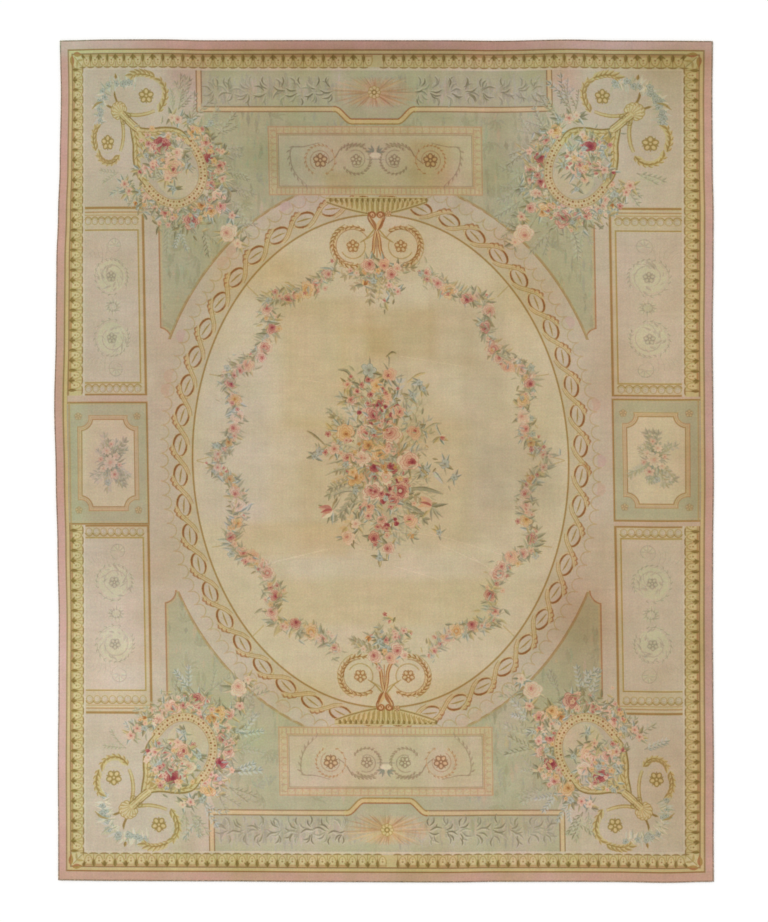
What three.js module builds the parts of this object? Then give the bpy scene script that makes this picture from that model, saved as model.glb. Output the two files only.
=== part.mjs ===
// A savonnerie rug, 3.5 m across and 4.5 m long, lying flat on the floor. It is one knotted carpet, a little
// uneven in outline and softly creased, with wool wrapped over a cord along each of its four edges.
// Millimetres. +X is across the rug, +Y along it, +Z up, and the origin is on the floor under its middle.
import * as THREE from "three";

// The whole rug, from wrapped edge to wrapped edge.
const WIDTH = 3500;
const LENGTH = 4500;

// The carpet: a woven foundation of about 3 mm under 5 mm of worn pile.
const THICKNESS = 8;
const STEPS_ACROSS = 36;
const STEPS_ALONG = 46;

// The wool wrapped over the edges, a soft roll that is flat where it lies on the floor.
const WRAP_WIDTH = 7;
const WRAP_HEIGHT = 8.5;
const WRAP_SIDES = 10;
const GAP = 0.3;
const CARPET_INSET = WRAP_WIDTH + GAP;

// How far the two long sides stand outside a straight line (inside it where negative), along the rug.
const LONG_SIDES = [
  { at: -2250, left: -9, right: 12 },
  { at: -2013, left: -9, right: 11 },
  { at: -1629, left: -7, right: 12.5 },
  { at: -1244, left: -10, right: 9 },
  { at: -860, left: -12, right: 7 },
  { at: -475, left: -5, right: 8 },
  { at: -91, left: 4, right: 12 },
  { at: 294, left: 12.5, right: 9 },
  { at: 678, left: 4, right: 6 },
  { at: 1063, left: 1, right: 10 },
  { at: 1319, left: -8, right: 11 },
  { at: 1575, left: -17, right: 6 },
  { at: 1960, left: -23, right: 4 },
  { at: 2250, left: -18, right: 7 },
];

// The same for the two ends, across the rug.
const ENDS = [
  { at: -1750, bottom: -10, top: -3 },
  { at: -1452, bottom: -7, top: 2.5 },
  { at: -1196, bottom: -6, top: 3 },
  { at: -940, bottom: -5, top: -2 },
  { at: -300, bottom: -1, top: -1 },
  { at: 342, bottom: 1, top: -2 },
  { at: 598, bottom: -2, top: -5 },
  { at: 983, bottom: -2, top: 2 },
  { at: 1239, bottom: -1, top: -3 },
  { at: 1500, bottom: 3, top: -4 },
  { at: 1750, bottom: -2, top: -6 },
];

// Soft creases in the upper face: ridges where height is positive, troughs where it is negative.
const CREASES = [
  { fromX: 40, fromY: 560, toX: 430, toY: 465, halfWidth: 95, height: 2.6 },
  { fromX: 120, fromY: -420, toX: 430, toY: -520, halfWidth: 90, height: 2.2 },
  { fromX: -590, fromY: -540, toX: -280, toY: -470, halfWidth: 90, height: 2.2 },
  { fromX: 480, fromY: -510, toX: 680, toY: -650, halfWidth: 90, height: 2.4 },
  { fromX: -430, fromY: -785, toX: 640, toY: -806, halfWidth: 85, height: -1.4 },
  { fromX: -593, fromY: 1143, toX: -593, toY: 630, halfWidth: 85, height: -1.3 },
  { fromX: 577, fromY: 980, toX: 585, toY: 240, halfWidth: 90, height: 1.8 },
  { fromX: 443, fromY: 790, toX: 1153, toY: 785, halfWidth: 85, height: -1.3 },
  { fromX: -1735, fromY: -2045, toX: -1380, toY: -2056, halfWidth: 85, height: 2.4 },
  { fromX: 640, fromY: 2230, toX: 610, toY: 1500, halfWidth: 110, height: 1.9 },
];

const CARPET_COLOUR = new THREE.Color(0.78, 0.72, 0.58);
const WRAP_COLOUR = new THREE.Color(0.6, 0.5, 0.48);
const WOOL_ROUGHNESS = 0.95;

const lerp = THREE.MathUtils.lerp;
const clamp = THREE.MathUtils.clamp;
const smoothstep = THREE.MathUtils.smoothstep;

// The value of a table's column between its rows, eased so that the edge has no corners.
function tableValue(table, column, at) {
  const last = table.length - 1;
  const held = clamp(at, table[0].at, table[last].at);
  const i = clamp(table.findIndex((row) => row.at >= held), 1, last);
  const before = table[i - 1];
  const after = table[i];
  return lerp(before[column], after[column], smoothstep(held, before.at, after.at));
}

const leftEdge = (y) => -WIDTH / 2 - tableValue(LONG_SIDES, "left", y);
const rightEdge = (y) => WIDTH / 2 + tableValue(LONG_SIDES, "right", y);
const bottomEdge = (x) => -LENGTH / 2 - tableValue(ENDS, "bottom", x);
const topEdge = (x) => LENGTH / 2 + tableValue(ENDS, "top", x);

// A place inside the outline moved in by inset: across and along run from 0 to 1.
function placeInside(across, along, inset) {
  let x = (across - 0.5) * WIDTH;
  let y = (along - 0.5) * LENGTH;
  for (let pass = 0; pass < 3; pass += 1) {
    y = lerp(bottomEdge(x) + inset, topEdge(x) - inset, along);
    x = lerp(leftEdge(y) + inset, rightEdge(y) - inset, across);
  }
  return new THREE.Vector2(x, y);
}

// How far one crease lifts a point: full along its line, nothing at halfWidth from it, eased at both ends.
function creaseLift(crease, point) {
  const from = new THREE.Vector2(crease.fromX, crease.fromY);
  const run = new THREE.Vector2(crease.toX, crease.toY).sub(from);
  const along = clamp(point.clone().sub(from).dot(run) / run.lengthSq(), 0, 1);
  const distance = point.distanceTo(run.clone().multiplyScalar(along).add(from));
  return crease.height * (1 - smoothstep(distance, 0, crease.halfWidth));
}

const relief = (point) => CREASES.reduce((sum, crease) => sum + creaseLift(crease, point), 0);

// A box from -0.5 to 0.5 each way whose points are moved onto the outline, and whose upper face is creased.
function carpetGeometry() {
  const geometry = new THREE.BoxGeometry(1, 1, 1, STEPS_ACROSS, STEPS_ALONG, 1);
  const points = geometry.attributes.position;
  for (let i = 0; i < points.count; i += 1) {
    const place = placeInside(points.getX(i) + 0.5, points.getY(i) + 0.5, CARPET_INSET);
    const isUpper = points.getZ(i) > 0;
    points.setXYZ(i, place.x, place.y, isUpper ? THICKNESS + relief(place) : 0);
  }
  geometry.computeVertexNormals();
  return geometry;
}

// A roll along a line: a closed cylinder whose axis follows pointAt(0..1), with sideways the way to its right.
function rollGeometry(pointAt, sideways, steps) {
  const flatTurn = Math.PI / WRAP_SIDES;
  const lowest = Math.cos(flatTurn);
  const geometry = new THREE.CylinderGeometry(1, 1, 1, WRAP_SIDES, steps);
  geometry.rotateY(flatTurn);
  const points = geometry.attributes.position;
  for (let i = 0; i < points.count; i += 1) {
    const axis = pointAt(points.getY(i) + 0.5);
    const offset = (points.getX(i) * WRAP_WIDTH) / 2;
    const height = ((points.getZ(i) + lowest) / (2 * lowest)) * WRAP_HEIGHT;
    points.setXYZ(i, axis.x + sideways.x * offset, axis.y + sideways.y * offset, height);
  }
  geometry.computeVertexNormals();
  return geometry;
}

// The wrapped wool along a long side, from end to end of the rug.
function longSideWrap(edge, inward) {
  const middle = (y) => edge(y) + (inward * WRAP_WIDTH) / 2;
  const bottom = bottomEdge(middle(-LENGTH / 2));
  const top = topEdge(middle(LENGTH / 2));
  const pointAt = (along) => {
    const y = lerp(bottom, top, along);
    return new THREE.Vector2(middle(y), y);
  };
  return rollGeometry(pointAt, new THREE.Vector2(1, 0), STEPS_ALONG);
}

// The wrapped wool along an end, between the wraps of the two long sides.
function endWrap(edge, inward) {
  const middle = (x) => edge(x) + (inward * WRAP_WIDTH) / 2;
  const left = leftEdge(middle(-WIDTH / 2)) + CARPET_INSET;
  const right = rightEdge(middle(WIDTH / 2)) - CARPET_INSET;
  const pointAt = (across) => {
    const x = lerp(right, left, across);
    return new THREE.Vector2(x, middle(x));
  };
  return rollGeometry(pointAt, new THREE.Vector2(0, 1), STEPS_ACROSS);
}

function woolMesh(name, geometry, colour) {
  const material = new THREE.MeshStandardMaterial({
    color: colour,
    roughness: WOOL_ROUGHNESS,
    metalness: 0,
  });
  const mesh = new THREE.Mesh(geometry, material);
  mesh.name = name;
  return mesh;
}

const rug = new THREE.Group();
rug.add(woolMesh("rug", carpetGeometry(), CARPET_COLOUR));
rug.add(woolMesh("edge_wrap_left", longSideWrap(leftEdge, 1), WRAP_COLOUR));
rug.add(woolMesh("edge_wrap_right", longSideWrap(rightEdge, -1), WRAP_COLOUR));
rug.add(woolMesh("edge_wrap_top", endWrap(topEdge, -1), WRAP_COLOUR));
rug.add(woolMesh("edge_wrap_bottom", endWrap(bottomEdge, 1), WRAP_COLOUR));

export default rug;
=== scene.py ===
import functools
import math
import random

import bpy
import numpy as np
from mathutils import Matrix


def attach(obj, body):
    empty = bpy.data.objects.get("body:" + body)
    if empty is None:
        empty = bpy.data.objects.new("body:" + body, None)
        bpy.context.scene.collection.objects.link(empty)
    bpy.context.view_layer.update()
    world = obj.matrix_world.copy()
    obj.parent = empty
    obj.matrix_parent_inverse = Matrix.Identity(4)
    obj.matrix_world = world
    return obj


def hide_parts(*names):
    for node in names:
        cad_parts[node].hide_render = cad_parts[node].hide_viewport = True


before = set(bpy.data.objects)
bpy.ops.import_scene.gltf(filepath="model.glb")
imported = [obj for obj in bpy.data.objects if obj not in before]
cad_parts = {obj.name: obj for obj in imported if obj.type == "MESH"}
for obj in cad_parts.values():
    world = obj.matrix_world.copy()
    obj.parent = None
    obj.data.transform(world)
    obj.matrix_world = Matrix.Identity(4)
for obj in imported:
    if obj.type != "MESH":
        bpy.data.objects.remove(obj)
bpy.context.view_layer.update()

# All lengths are millimetres in the design, and metres in Blender.
MM = 0.001
TAU = 2 * math.pi

# The carpet inside its wrapped edges, which the pile's knots cover in an even grid.
RUG_HALF_WIDTH = 1750.0
RUG_HALF_LENGTH = 2250.0
WRAP_WIDTH = 7.0
WRAP_HEIGHT = 8.5
PILE_TOP = 8.0
INSET = WRAP_WIDTH + 0.3
HALF_WIDTH = RUG_HALF_WIDTH - INSET
HALF_LENGTH = RUG_HALF_LENGTH - INSET
KNOT = 3.9
COLUMNS = 8 * round(2 * HALF_WIDTH / KNOT / 8)
ROWS = 8 * round(2 * HALF_LENGTH / KNOT / 8)
STEP_X = 2 * HALF_WIDTH / COLUMNS
STEP_Y = 2 * HALF_LENGTH / ROWS

# An edge in the drawing is this soft, and a line thinner than FAINT_BELOW is fainter too.
SOFT = 4.5
FAINT_BELOW = 3.0
TINY = 1e-9

# The picture is 768 by 922 pixels, and one pixel is this many millimetres of rug.
PICTURE_WIDTH = 768
PIXEL = 5.34
CAMERA_HEIGHT = 14.0
SENSOR = 36.0

# Yarn colours as the eye sees them, from 0 to 255.
YARN = {
    "guard": (188, 150, 132),
    "field": (184, 167, 142),
    "panel": (186, 171, 147),
    "grey": (164, 156, 131),
    "green": (164, 158, 127),
    "cream": (191, 173, 140),
    "stone": (184, 166, 136),
    "gold": (186, 168, 120),
    "straw": (188, 167, 118),
    "olive": (136, 112, 62),
    "moss": (118, 96, 46),
    "bronze": (156, 130, 76),
    "brown": (146, 112, 68),
    "rust": (152, 100, 58),
    "rust_deep": (134, 82, 44),
    "tan": (190, 160, 114),
    "sepia": (140, 119, 92),
    "slate": (133, 125, 103),
    "leaf": (143, 133, 98),
    "leaf_deep": (119, 111, 82),
    "leaf_olive": (150, 133, 92),
    "teal": (143, 138, 110),
    "mist": (173, 166, 138),
    "blue": (120, 124, 107),
    "blue_pale": (182, 180, 164),
    "crimson": (150, 76, 70),
    "rose": (178, 121, 100),
    "pink": (194, 154, 127),
    "blush": (201, 173, 143),
    "peach": (202, 161, 120),
    "lemon": (202, 174, 120),
    "amber": (184, 134, 78),
    "ivory": (206, 191, 162),
    "plum": (124, 48, 56),
}
YARN = {name: np.array(value, dtype=float) for name, value in YARN.items()}

# How far the long sides stand outside a straight line, along the rug, as in the carpet's own solid.
LONG_SIDE_AT = (-2250, -2013, -1629, -1244, -860, -475, -91, 294, 678, 1063, 1319, 1575, 1960, 2250)
LEFT_OUT = (-9, -9, -7, -10, -12, -5, 4, 12.5, 4, 1, -8, -17, -23, -18)
RIGHT_OUT = (12, 11, 12.5, 9, 7, 8, 12, 9, 6, 10, 11, 6, 4, 7)

# The same for the two ends, across the rug.
END_AT = (-1750, -1452, -1196, -940, -300, 342, 598, 983, 1239, 1500, 1750)
BOTTOM_OUT = (-10, -7, -6, -5, -1, 1, -2, -2, -1, 3, -2)
TOP_OUT = (-3, 2.5, 3, -2, -1, -2, -5, 2, -3, -4, -6)

# Soft creases: where each starts and ends, how far it reaches to a side, and how high it stands.
CREASES = (
    {"start": (40, 560), "end": (430, 465), "reach": 95, "height": 2.6},
    {"start": (120, -420), "end": (430, -520), "reach": 90, "height": 2.2},
    {"start": (-590, -540), "end": (-280, -470), "reach": 90, "height": 2.2},
    {"start": (480, -510), "end": (680, -650), "reach": 90, "height": 2.4},
    {"start": (-430, -785), "end": (640, -806), "reach": 85, "height": -1.4},
    {"start": (-593, 1143), "end": (-593, 630), "reach": 85, "height": -1.3},
    {"start": (577, 980), "end": (585, 240), "reach": 90, "height": 1.8},
    {"start": (443, 790), "end": (1153, 785), "reach": 85, "height": -1.3},
    {"start": (-1735, -2045), "end": (-1380, -2056), "reach": 85, "height": 2.4},
    {"start": (640, 2230), "end": (610, 1500), "reach": 110, "height": 1.9},
)

# The weaving drifts: the design's middle line leans across the rug, and only its rim follows the long sides.
AXIS_OFFSET = -18.0
AXIS_LEAN = -0.0175
AXIS_FULL_TO = 1240.0
AXIS_NONE_FROM = 1690.0
EDGE_NONE_TO = 1560.0
EDGE_FULL_FROM = 1743.0


def smoothstep(value, low, high):
    """An eased rise from 0 at low to 1 at high."""
    t = np.clip((value - low) / (high - low), 0, 1)
    return t * t * (3 - 2 * t)


def eased(table_at, table_value, at):
    """The value of a table between its rows, without corners."""
    knots = np.asarray(table_at, dtype=float)
    values = np.asarray(table_value, dtype=float)
    at = np.clip(at, knots[0], knots[-1])
    i = np.clip(np.searchsorted(knots, at), 1, len(knots) - 1)
    return values[i - 1] + (values[i] - values[i - 1]) * smoothstep(at, knots[i - 1], knots[i])


def left_edge(y):
    return -RUG_HALF_WIDTH - eased(LONG_SIDE_AT, LEFT_OUT, y)


def right_edge(y):
    return RUG_HALF_WIDTH + eased(LONG_SIDE_AT, RIGHT_OUT, y)


def bottom_edge(x):
    return -RUG_HALF_LENGTH - eased(END_AT, BOTTOM_OUT, x)


def top_edge(x):
    return RUG_HALF_LENGTH + eased(END_AT, TOP_OUT, x)


def to_rug(x, y):
    """From the even design to the rug as it was woven, with its leaning middle and uneven edges."""
    lean = (AXIS_OFFSET + AXIS_LEAN * y) * (1 - smoothstep(np.abs(x), AXIS_FULL_TO, AXIS_NONE_FROM))
    side = smoothstep(np.abs(x), EDGE_NONE_TO, EDGE_FULL_FROM)
    out = np.where(x < 0, -eased(LONG_SIDE_AT, LEFT_OUT, y), eased(LONG_SIDE_AT, RIGHT_OUT, y))
    rug_x = x + lean + out * side
    along = (y + HALF_LENGTH) / (2 * HALF_LENGTH)
    bottom = bottom_edge(rug_x) + INSET
    top = top_edge(rug_x) - INSET
    return rug_x, bottom + (top - bottom) * along


def relief(x, y):
    """How far the creases lift the carpet's upper face."""
    lift = np.zeros(np.broadcast(x, y).shape)
    for crease in CREASES:
        start = np.array(crease["start"], dtype=float)
        run = np.array(crease["end"], dtype=float) - start
        along = np.clip(((x - start[0]) * run[0] + (y - start[1]) * run[1]) / (run @ run), 0, 1)
        distance = np.hypot(x - start[0] - along * run[0], y - start[1] - along * run[1])
        lift += crease["height"] * (1 - smoothstep(distance, 0, crease["reach"]))
    return lift


def polar(x, y, angle, distance):
    """The point at an angle in degrees and a distance from another."""
    turn = math.radians(angle)
    return x + math.cos(turn) * distance, y + math.sin(turn) * distance


# Curves of the drawing, as rows of points.
def arc(x, y, radius, start, end, steps=12):
    turn = np.radians(np.linspace(start, end, steps))
    return np.stack([x + radius * np.cos(turn), y + radius * np.sin(turn)], 1)


def spiral(x, y, outer, inner, start, end, steps=24):
    turn = np.radians(np.linspace(start, end, steps))
    radius = np.linspace(outer, inner, steps)
    return np.stack([x + radius * np.cos(turn), y + radius * np.sin(turn)], 1)


def curve(points, steps=6):
    """A smooth line through the points."""
    p = np.asarray(points, dtype=float)
    p = np.vstack([2 * p[0] - p[1], p, 2 * p[-1] - p[-2]])
    t = np.linspace(0, 1, steps, endpoint=False)[:, None]
    rows = []
    for a, b, c, d in zip(p[:-3], p[1:-2], p[2:-1], p[3:]):
        square = (2 * a - 5 * b + 4 * c - d) * t**2
        cube = (3 * b - a - 3 * c + d) * t**3
        rows.append(0.5 * (2 * b + (c - a) * t + square + cube))
    return np.vstack(rows + [p[-2:-1]])


def line_lengths(points):
    """How far along a line each of its points lies."""
    return np.concatenate([[0], np.cumsum(np.hypot(*np.diff(points, axis=0).T))])


def along_line(points, spacing):
    """Places and headings every spacing along a line."""
    at = line_lengths(points)
    count = max(2, int(at[-1] / spacing) + 1)
    places = np.linspace(0, at[-1], count)
    x = np.interp(places, at, points[:, 0])
    y = np.interp(places, at, points[:, 1])
    heading = np.degrees(np.arctan2(np.gradient(y), np.gradient(x)))
    return list(zip(x, y, heading))


def beside(points, distance):
    """The same line, moved to its left."""
    run = np.gradient(points, axis=0)
    run /= np.hypot(*run.T)[:, None]
    return points + distance * np.stack([-run[:, 1], run[:, 0]], 1)


def ellipse_distance(x, y, half_width, half_height):
    """Roughly how far a point lies outside an upright ellipse about the middle."""
    size = np.sqrt((x / half_width) ** 2 + (y / half_height) ** 2) + TINY
    slope = np.hypot(x / half_width**2, y / half_height**2) / size + TINY
    return (size - 1) / slope


def ellipse_line(half_width, half_height, start, end, steps=400):
    turn = np.radians(np.linspace(start, end, steps))
    return np.stack([half_width * np.cos(turn), half_height * np.sin(turn)], 1)


def inside(distance):
    """Full where the distance is under 0, none where it is over, soft over one knot."""
    return np.clip(0.5 - distance / SOFT, 0, 1)


def line(distance, width):
    """Full on a line of the given width where the distance is 0, with soft sides."""
    return np.clip(0.5 + (width / 2 - np.abs(distance)) / SOFT, 0, 1)


def tone(colour):
    """A yarn's colour by its name, or a colour as it is."""
    return YARN[colour] if isinstance(colour, str) else colour


def mix(first, second, share):
    return tone(first) * (1 - share) + tone(second) * share


def segment_cover(gx, gy, start, end, start_width, end_width):
    """How far one straight piece of a tapering line covers each knot."""
    (ax, ay), (bx, by) = start, end
    square = (bx - ax) ** 2 + (by - ay) ** 2 + TINY
    t = np.clip(((gx - ax) * (bx - ax) + (gy - ay) * (by - ay)) / square, 0, 1)
    distance = np.hypot(gx - ax - t * (bx - ax), gy - ay - t * (by - ay))
    wide = start_width * (1 - t) + end_width * t
    return line(distance, wide) * np.minimum(1, wide / FAINT_BELOW)


# The quarters of the rug in the order that they are drawn, as mirrorings across and along.
QUARTERS = ((-1, 1), (1, 1), (-1, -1), (1, -1))
STROKE_RUN = 8
LEAF_SWELL = 0.75


class Loom:
    """The carpet's knots, a grid of colours in design millimetres, with a pen to mirror and fade."""

    def __init__(self):
        self.x = (np.arange(COLUMNS) + 0.5) * STEP_X - HALF_WIDTH
        self.y = (np.arange(ROWS) + 0.5) * STEP_Y - HALF_LENGTH
        self.colour = np.empty((ROWS, COLUMNS, 3))
        self.colour[:] = YARN["field"]
        self.flip = (1, 1)
        self.fade = 0.0

    def quarters(self):
        """Turns the pen to each quarter of the rug, numbered from 0, and back."""
        for number, flip in enumerate(QUARTERS):
            self.flip = flip
            yield number
        self.flip = (1, 1)

    def ends(self):
        """Turns the pen to the upper end, which is 1, then to the lower end, which is -1, and back."""
        for up in (1, -1):
            self.flip = (1, up)
            yield up
        self.flip = (1, 1)

    def window(self, x, y, reach):
        """The knots within reach of a point: their place in the grid, and their x and y."""
        i0 = max(0, int((x - reach + HALF_WIDTH) / STEP_X))
        i1 = max(i0, min(COLUMNS, int((x + reach + HALF_WIDTH) / STEP_X) + 1))
        j0 = max(0, int((y - reach + HALF_LENGTH) / STEP_Y))
        j1 = max(j0, min(ROWS, int((y + reach + HALF_LENGTH) / STEP_Y) + 1))
        return (slice(j0, j1), slice(i0, i1)), self.x[None, i0:i1], self.y[j0:j1, None]

    def lay(self, place, cover, colour, strength=1.0):
        """Knots a colour into a window as far as it is covered."""
        patch = self.colour[place]
        patch += (tone(colour) - patch) * (cover * strength * (1 - self.fade))[..., None]

    def fill(self, cover, colour, strength=1.0):
        self.lay((slice(None), slice(None)), cover, colour, strength)

    def aim(self, x, y, angle):
        """A place of the design and a heading, mirrored as the pen is."""
        turn = math.radians(angle)
        along = math.cos(turn) * self.flip[0], math.sin(turn) * self.flip[1]
        return x * self.flip[0], y * self.flip[1], along

    def disc(self, x, y, radius, colour, across=None, angle=0.0, strength=1.0):
        """A round or oval spot: radius along angle, and across it."""
        x, y, (along_x, along_y) = self.aim(x, y, angle)
        across = across or radius
        place, gx, gy = self.window(x, y, max(radius, across) + SOFT)
        u = (gx - x) * along_x + (gy - y) * along_y
        v = (gy - y) * along_x - (gx - x) * along_y
        size = np.sqrt((u / radius) ** 2 + (v / across) ** 2)
        self.lay(place, inside((size - 1) * min(radius, across)), colour, strength)

    def leaf(self, x, y, angle, length, width, colour, shade=None, strength=1.0):
        """A pointed leaf that grows from a point, with one half in a second shade."""
        x, y, (along_x, along_y) = self.aim(x, y, angle)
        middle = x + along_x * length / 2, y + along_y * length / 2
        place, gx, gy = self.window(*middle, (length + width) / 2)
        u = ((gx - x) * along_x + (gy - y) * along_y) / length
        v = (gy - y) * along_x - (gx - x) * along_y
        wide = width * np.sin(math.pi * np.clip(u, 0, 1) ** LEAF_SWELL)
        cover = line(v, wide) * ((u > 0) & (u < 1))
        self.lay(place, cover, colour, strength)
        if shade is not None:
            self.lay(place, cover * inside(v), shade, strength)

    def stroke(self, points, width, colour, strength=1.0, start=1.0, end=1.0):
        """A line of the given width, which tapers to start and end shares of it."""
        points = np.asarray(points, dtype=float) * self.flip
        count = len(points) - 1
        share = np.linspace(0, 1, count + 1)
        swell = np.sin(math.pi * share)
        widths = width * np.where(share < 0.5, start + (1 - start) * swell, end + (1 - end) * swell)
        for first in range(0, count, STROKE_RUN):
            run = points[first : first + STROKE_RUN + 1]
            middle = (run.min(0) + run.max(0)) / 2
            reach = (run.max(0) - run.min(0)).max() / 2 + width / 2 + SOFT
            place, gx, gy = self.window(*middle, reach)
            best = np.zeros(np.broadcast(gx, gy).shape)
            for k in range(len(run) - 1):
                cover = segment_cover(gx, gy, run[k], run[k + 1], *widths[first + k : first + k + 2])
                np.maximum(best, cover, best)
            self.lay(place, best, colour, strength)


# How strongly a petal's edge is lined, and the yarns of the leaves by pairs.
PETAL_LINE = 0.85
LEAF_PAIRS = (
    ("mist", "slate"), ("straw", "leaf_olive"), ("blue_pale", "blue"), ("leaf_olive", "leaf_deep"),
    ("mist", "leaf"), ("teal", "leaf_deep"), ("cream", "teal"),
)

# Flower kinds: petals, their shade, the heart, and the ring about the heart.
ROSES = {
    "red": ("rose", "crimson", "plum", "blush"),
    "pink": ("pink", "rose", "crimson", "ivory"),
    "blush": ("blush", "pink", "rose", "ivory"),
    "peach": ("peach", "pink", "crimson", "blush"),
    "lemon": ("lemon", "amber", "rust", "blush"),
    "amber": ("amber", "rust", "rust_deep", "lemon"),
    "dark": ("crimson", "plum", "plum", "rose"),
    "white": ("ivory", "mist", "lemon", "blush"),
    "blue": ("blue_pale", "blue", "slate", "blue_pale"),
}

# A rose's rings of petals, as shares of its radius.
LARGE_ROSE = 30.0
LARGE_ROSE_RINGS = (1.0, 0.78, 0.56, 0.34)
SMALL_ROSE_RINGS = (1.0, 0.68, 0.4)


def petal_ring(pen, x, y, radius, inner, count, turn, fills, edge, cut=0.22):
    """A ring of petals: its two fills run from base to rim, and edge lines each petal."""
    cx, cy = x * pen.flip[0], y * pen.flip[1]
    place, gx, gy = pen.window(cx, cy, radius * 1.15 + SOFT)
    dx, dy = (gx - cx) * pen.flip[0], (gy - cy) * pen.flip[1]
    away, around = np.hypot(dx, dy), np.arctan2(dy, dx)
    lobe = np.abs(np.cos(count / 2 * (around - turn)))
    uneven = 1 + 0.07 * np.sin(2 * around + 3.7 * turn) + 0.06 * np.sin(3 * around + 5.1 * turn)
    rim = radius * uneven * (1 - cut + cut * lobe**0.6)
    depth = np.clip((away / rim - inner) / (1 - inner), 0, 1)
    cover = inside(away - rim)
    pen.lay(place, cover, fills[0] + (fills[1] - fills[0]) * depth[..., None])
    between = np.clip(1 - lobe * away * count / 7, 0, 1) * (depth > 0.2)
    pen.lay(place, cover * np.maximum(line(rim - away - 1.5, 3.5), between), edge, PETAL_LINE)


def petal_yarns(kind):
    return [tone(name) for name in ROSES[kind]]


def rose(pen, x, y, radius, kind, chance):
    """A full rose seen from the front: petals laid ring in ring about a heart set to one side."""
    petal, shade, heart, light = petal_yarns(kind)
    turn = chance.uniform(0, TAU)
    hx, hy = polar(x, y, math.degrees(turn), radius * 0.24)
    sizes = LARGE_ROSE_RINGS if radius > LARGE_ROSE else SMALL_ROSE_RINGS
    for number, size in enumerate(sizes):
        share = number / (len(sizes) - 1)
        px, py = x + (hx - x) * share, y + (hy - y) * share
        fills = (mix(petal, shade, share), mix(light, petal, share))
        count = chance.choice((5, 6, 7)) - number // 2
        rim = mix(shade, heart, 0.15 + share * 0.6)
        petal_ring(pen, px, py, radius * size, 0.3, count, turn + 1.3 * number, fills, rim)
    pen.disc(hx, hy, radius * 0.2, heart, radius * 0.14, math.degrees(turn) + 50)


def wreath_rose(pen, x, y, radius, kind, chance):
    """An open rose whose petals make a ring about a pale eye."""
    petal, shade, heart, light = petal_yarns(kind)
    turn = chance.uniform(0, TAU)
    petal_ring(pen, x, y, radius, 0.5, 9, turn, (petal, light), shade, 0.25)
    petal_ring(pen, x, y, radius * 0.68, 0.45, 7, turn + 0.4, (shade, mix(petal, light, 0.5)), heart, 0.25)
    pen.disc(x, y, radius * 0.3, mix(shade, heart, 0.4))
    pen.disc(x, y, radius * 0.19, mix("mist", light, 0.4))


def blossom(pen, x, y, radius, kind, chance, count=5):
    """A small open flower with separate petals."""
    petal, shade, heart, light = petal_yarns(kind)
    turn = chance.uniform(0, TAU)
    petal_ring(pen, x, y, radius, 0.2, count, turn, (mix(petal, shade, 0.5), light), shade, 0.45)
    pen.disc(x, y, radius * 0.2, mix(shade, heart, 0.6), strength=0.8)


def bud(pen, x, y, radius, kind, angle):
    """A closed flower: two outer petals, and a darker one between them."""
    petal, shade, heart, light = petal_yarns(kind)
    pen.leaf(x, y, angle - 24, radius * 2.0, radius * 1.1, petal, shade)
    pen.leaf(x, y, angle + 24, radius * 2.0, radius * 1.1, light, petal)
    pen.leaf(x, y, angle, radius * 1.7, radius * 0.7, shade, heart, 0.8)


def flower(pen, kind, x, y, radius, chance):
    """A flower by the name of its form and yarns, such as rose-pink."""
    form, yarns = kind.split("-")
    if form == "rose":
        rose(pen, x, y, radius, yarns, chance)
    elif form == "wreath":
        wreath_rose(pen, x, y, radius, yarns, chance)
    elif form == "bud":
        bud(pen, x, y, radius * 0.8, yarns, chance.uniform(0, 360))
    else:
        blossom(pen, x, y, radius, yarns, chance, {"bloom": 5, "daisy": 8}[form])


def nest(pen, x, y, radius, count, chance):
    """Leaves that stand out all round from under a flower."""
    for _ in range(count):
        yarn, shade = chance.choice(LEAF_PAIRS)
        reach = radius * chance.uniform(1.15, 1.5) + 26
        angle, width = chance.uniform(0, 360), chance.uniform(14, 21)
        pen.leaf(x, y, angle, reach, width, yarn, shade, chance.uniform(0.75, 1))


def sprig(pen, x, y, angle, length, chance, leaves=3, yarns=None, strength=0.9):
    """A short stem with a pair of leaves at each step and one at its tip."""
    bend = chance.uniform(-25, 25)
    stem = [(x, y)]
    heading = angle
    step = length / (leaves + 1)
    for _ in range(leaves):
        heading += bend / leaves
        stem.append(polar(*stem[-1], heading, step))
    yarn, shade = yarns or chance.choice(LEAF_PAIRS)
    pen.stroke(stem, 4.5, shade, strength * 0.8)
    size = step * 1.25
    for px, py in stem[1:]:
        for side, half_shade in ((-1, None), (1, shade)):
            spread = heading + side * chance.uniform(32, 55)
            pen.leaf(px, py, spread, size, size * 0.42, yarn, half_shade, strength)
    pen.leaf(*stem[-1], heading, size * 1.1, size * 0.42, yarn, shade, strength)


SMALL = ("bloom-pink", "bloom-blush", "bloom-peach", "bloom-red", "bud-pink", "bloom-lemon", "bloom-blue")


def strewn(places, spread, chance):
    """A random point about one of the places."""
    x, y = chance.choice(places)
    return chance.gauss(x, spread), chance.gauss(y, spread)


def scatter(pen, places, spread, chance, leaves, blooms, kinds=SMALL):
    """Small leaves, with small flowers among them, strewn about the given places."""
    for _ in range(leaves):
        x, y = strewn(places, spread, chance)
        yarn, shade = chance.choice(LEAF_PAIRS)
        reach = chance.uniform(26, 52)
        pen.leaf(x, y, chance.uniform(0, 360), reach, reach * 0.32, yarn, shade, chance.uniform(0.6, 1.0))
    for _ in range(blooms):
        x, y = strewn(places, spread, chance)
        flower(pen, chance.choice(kinds), x, y, chance.uniform(10, 19), chance)


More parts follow.
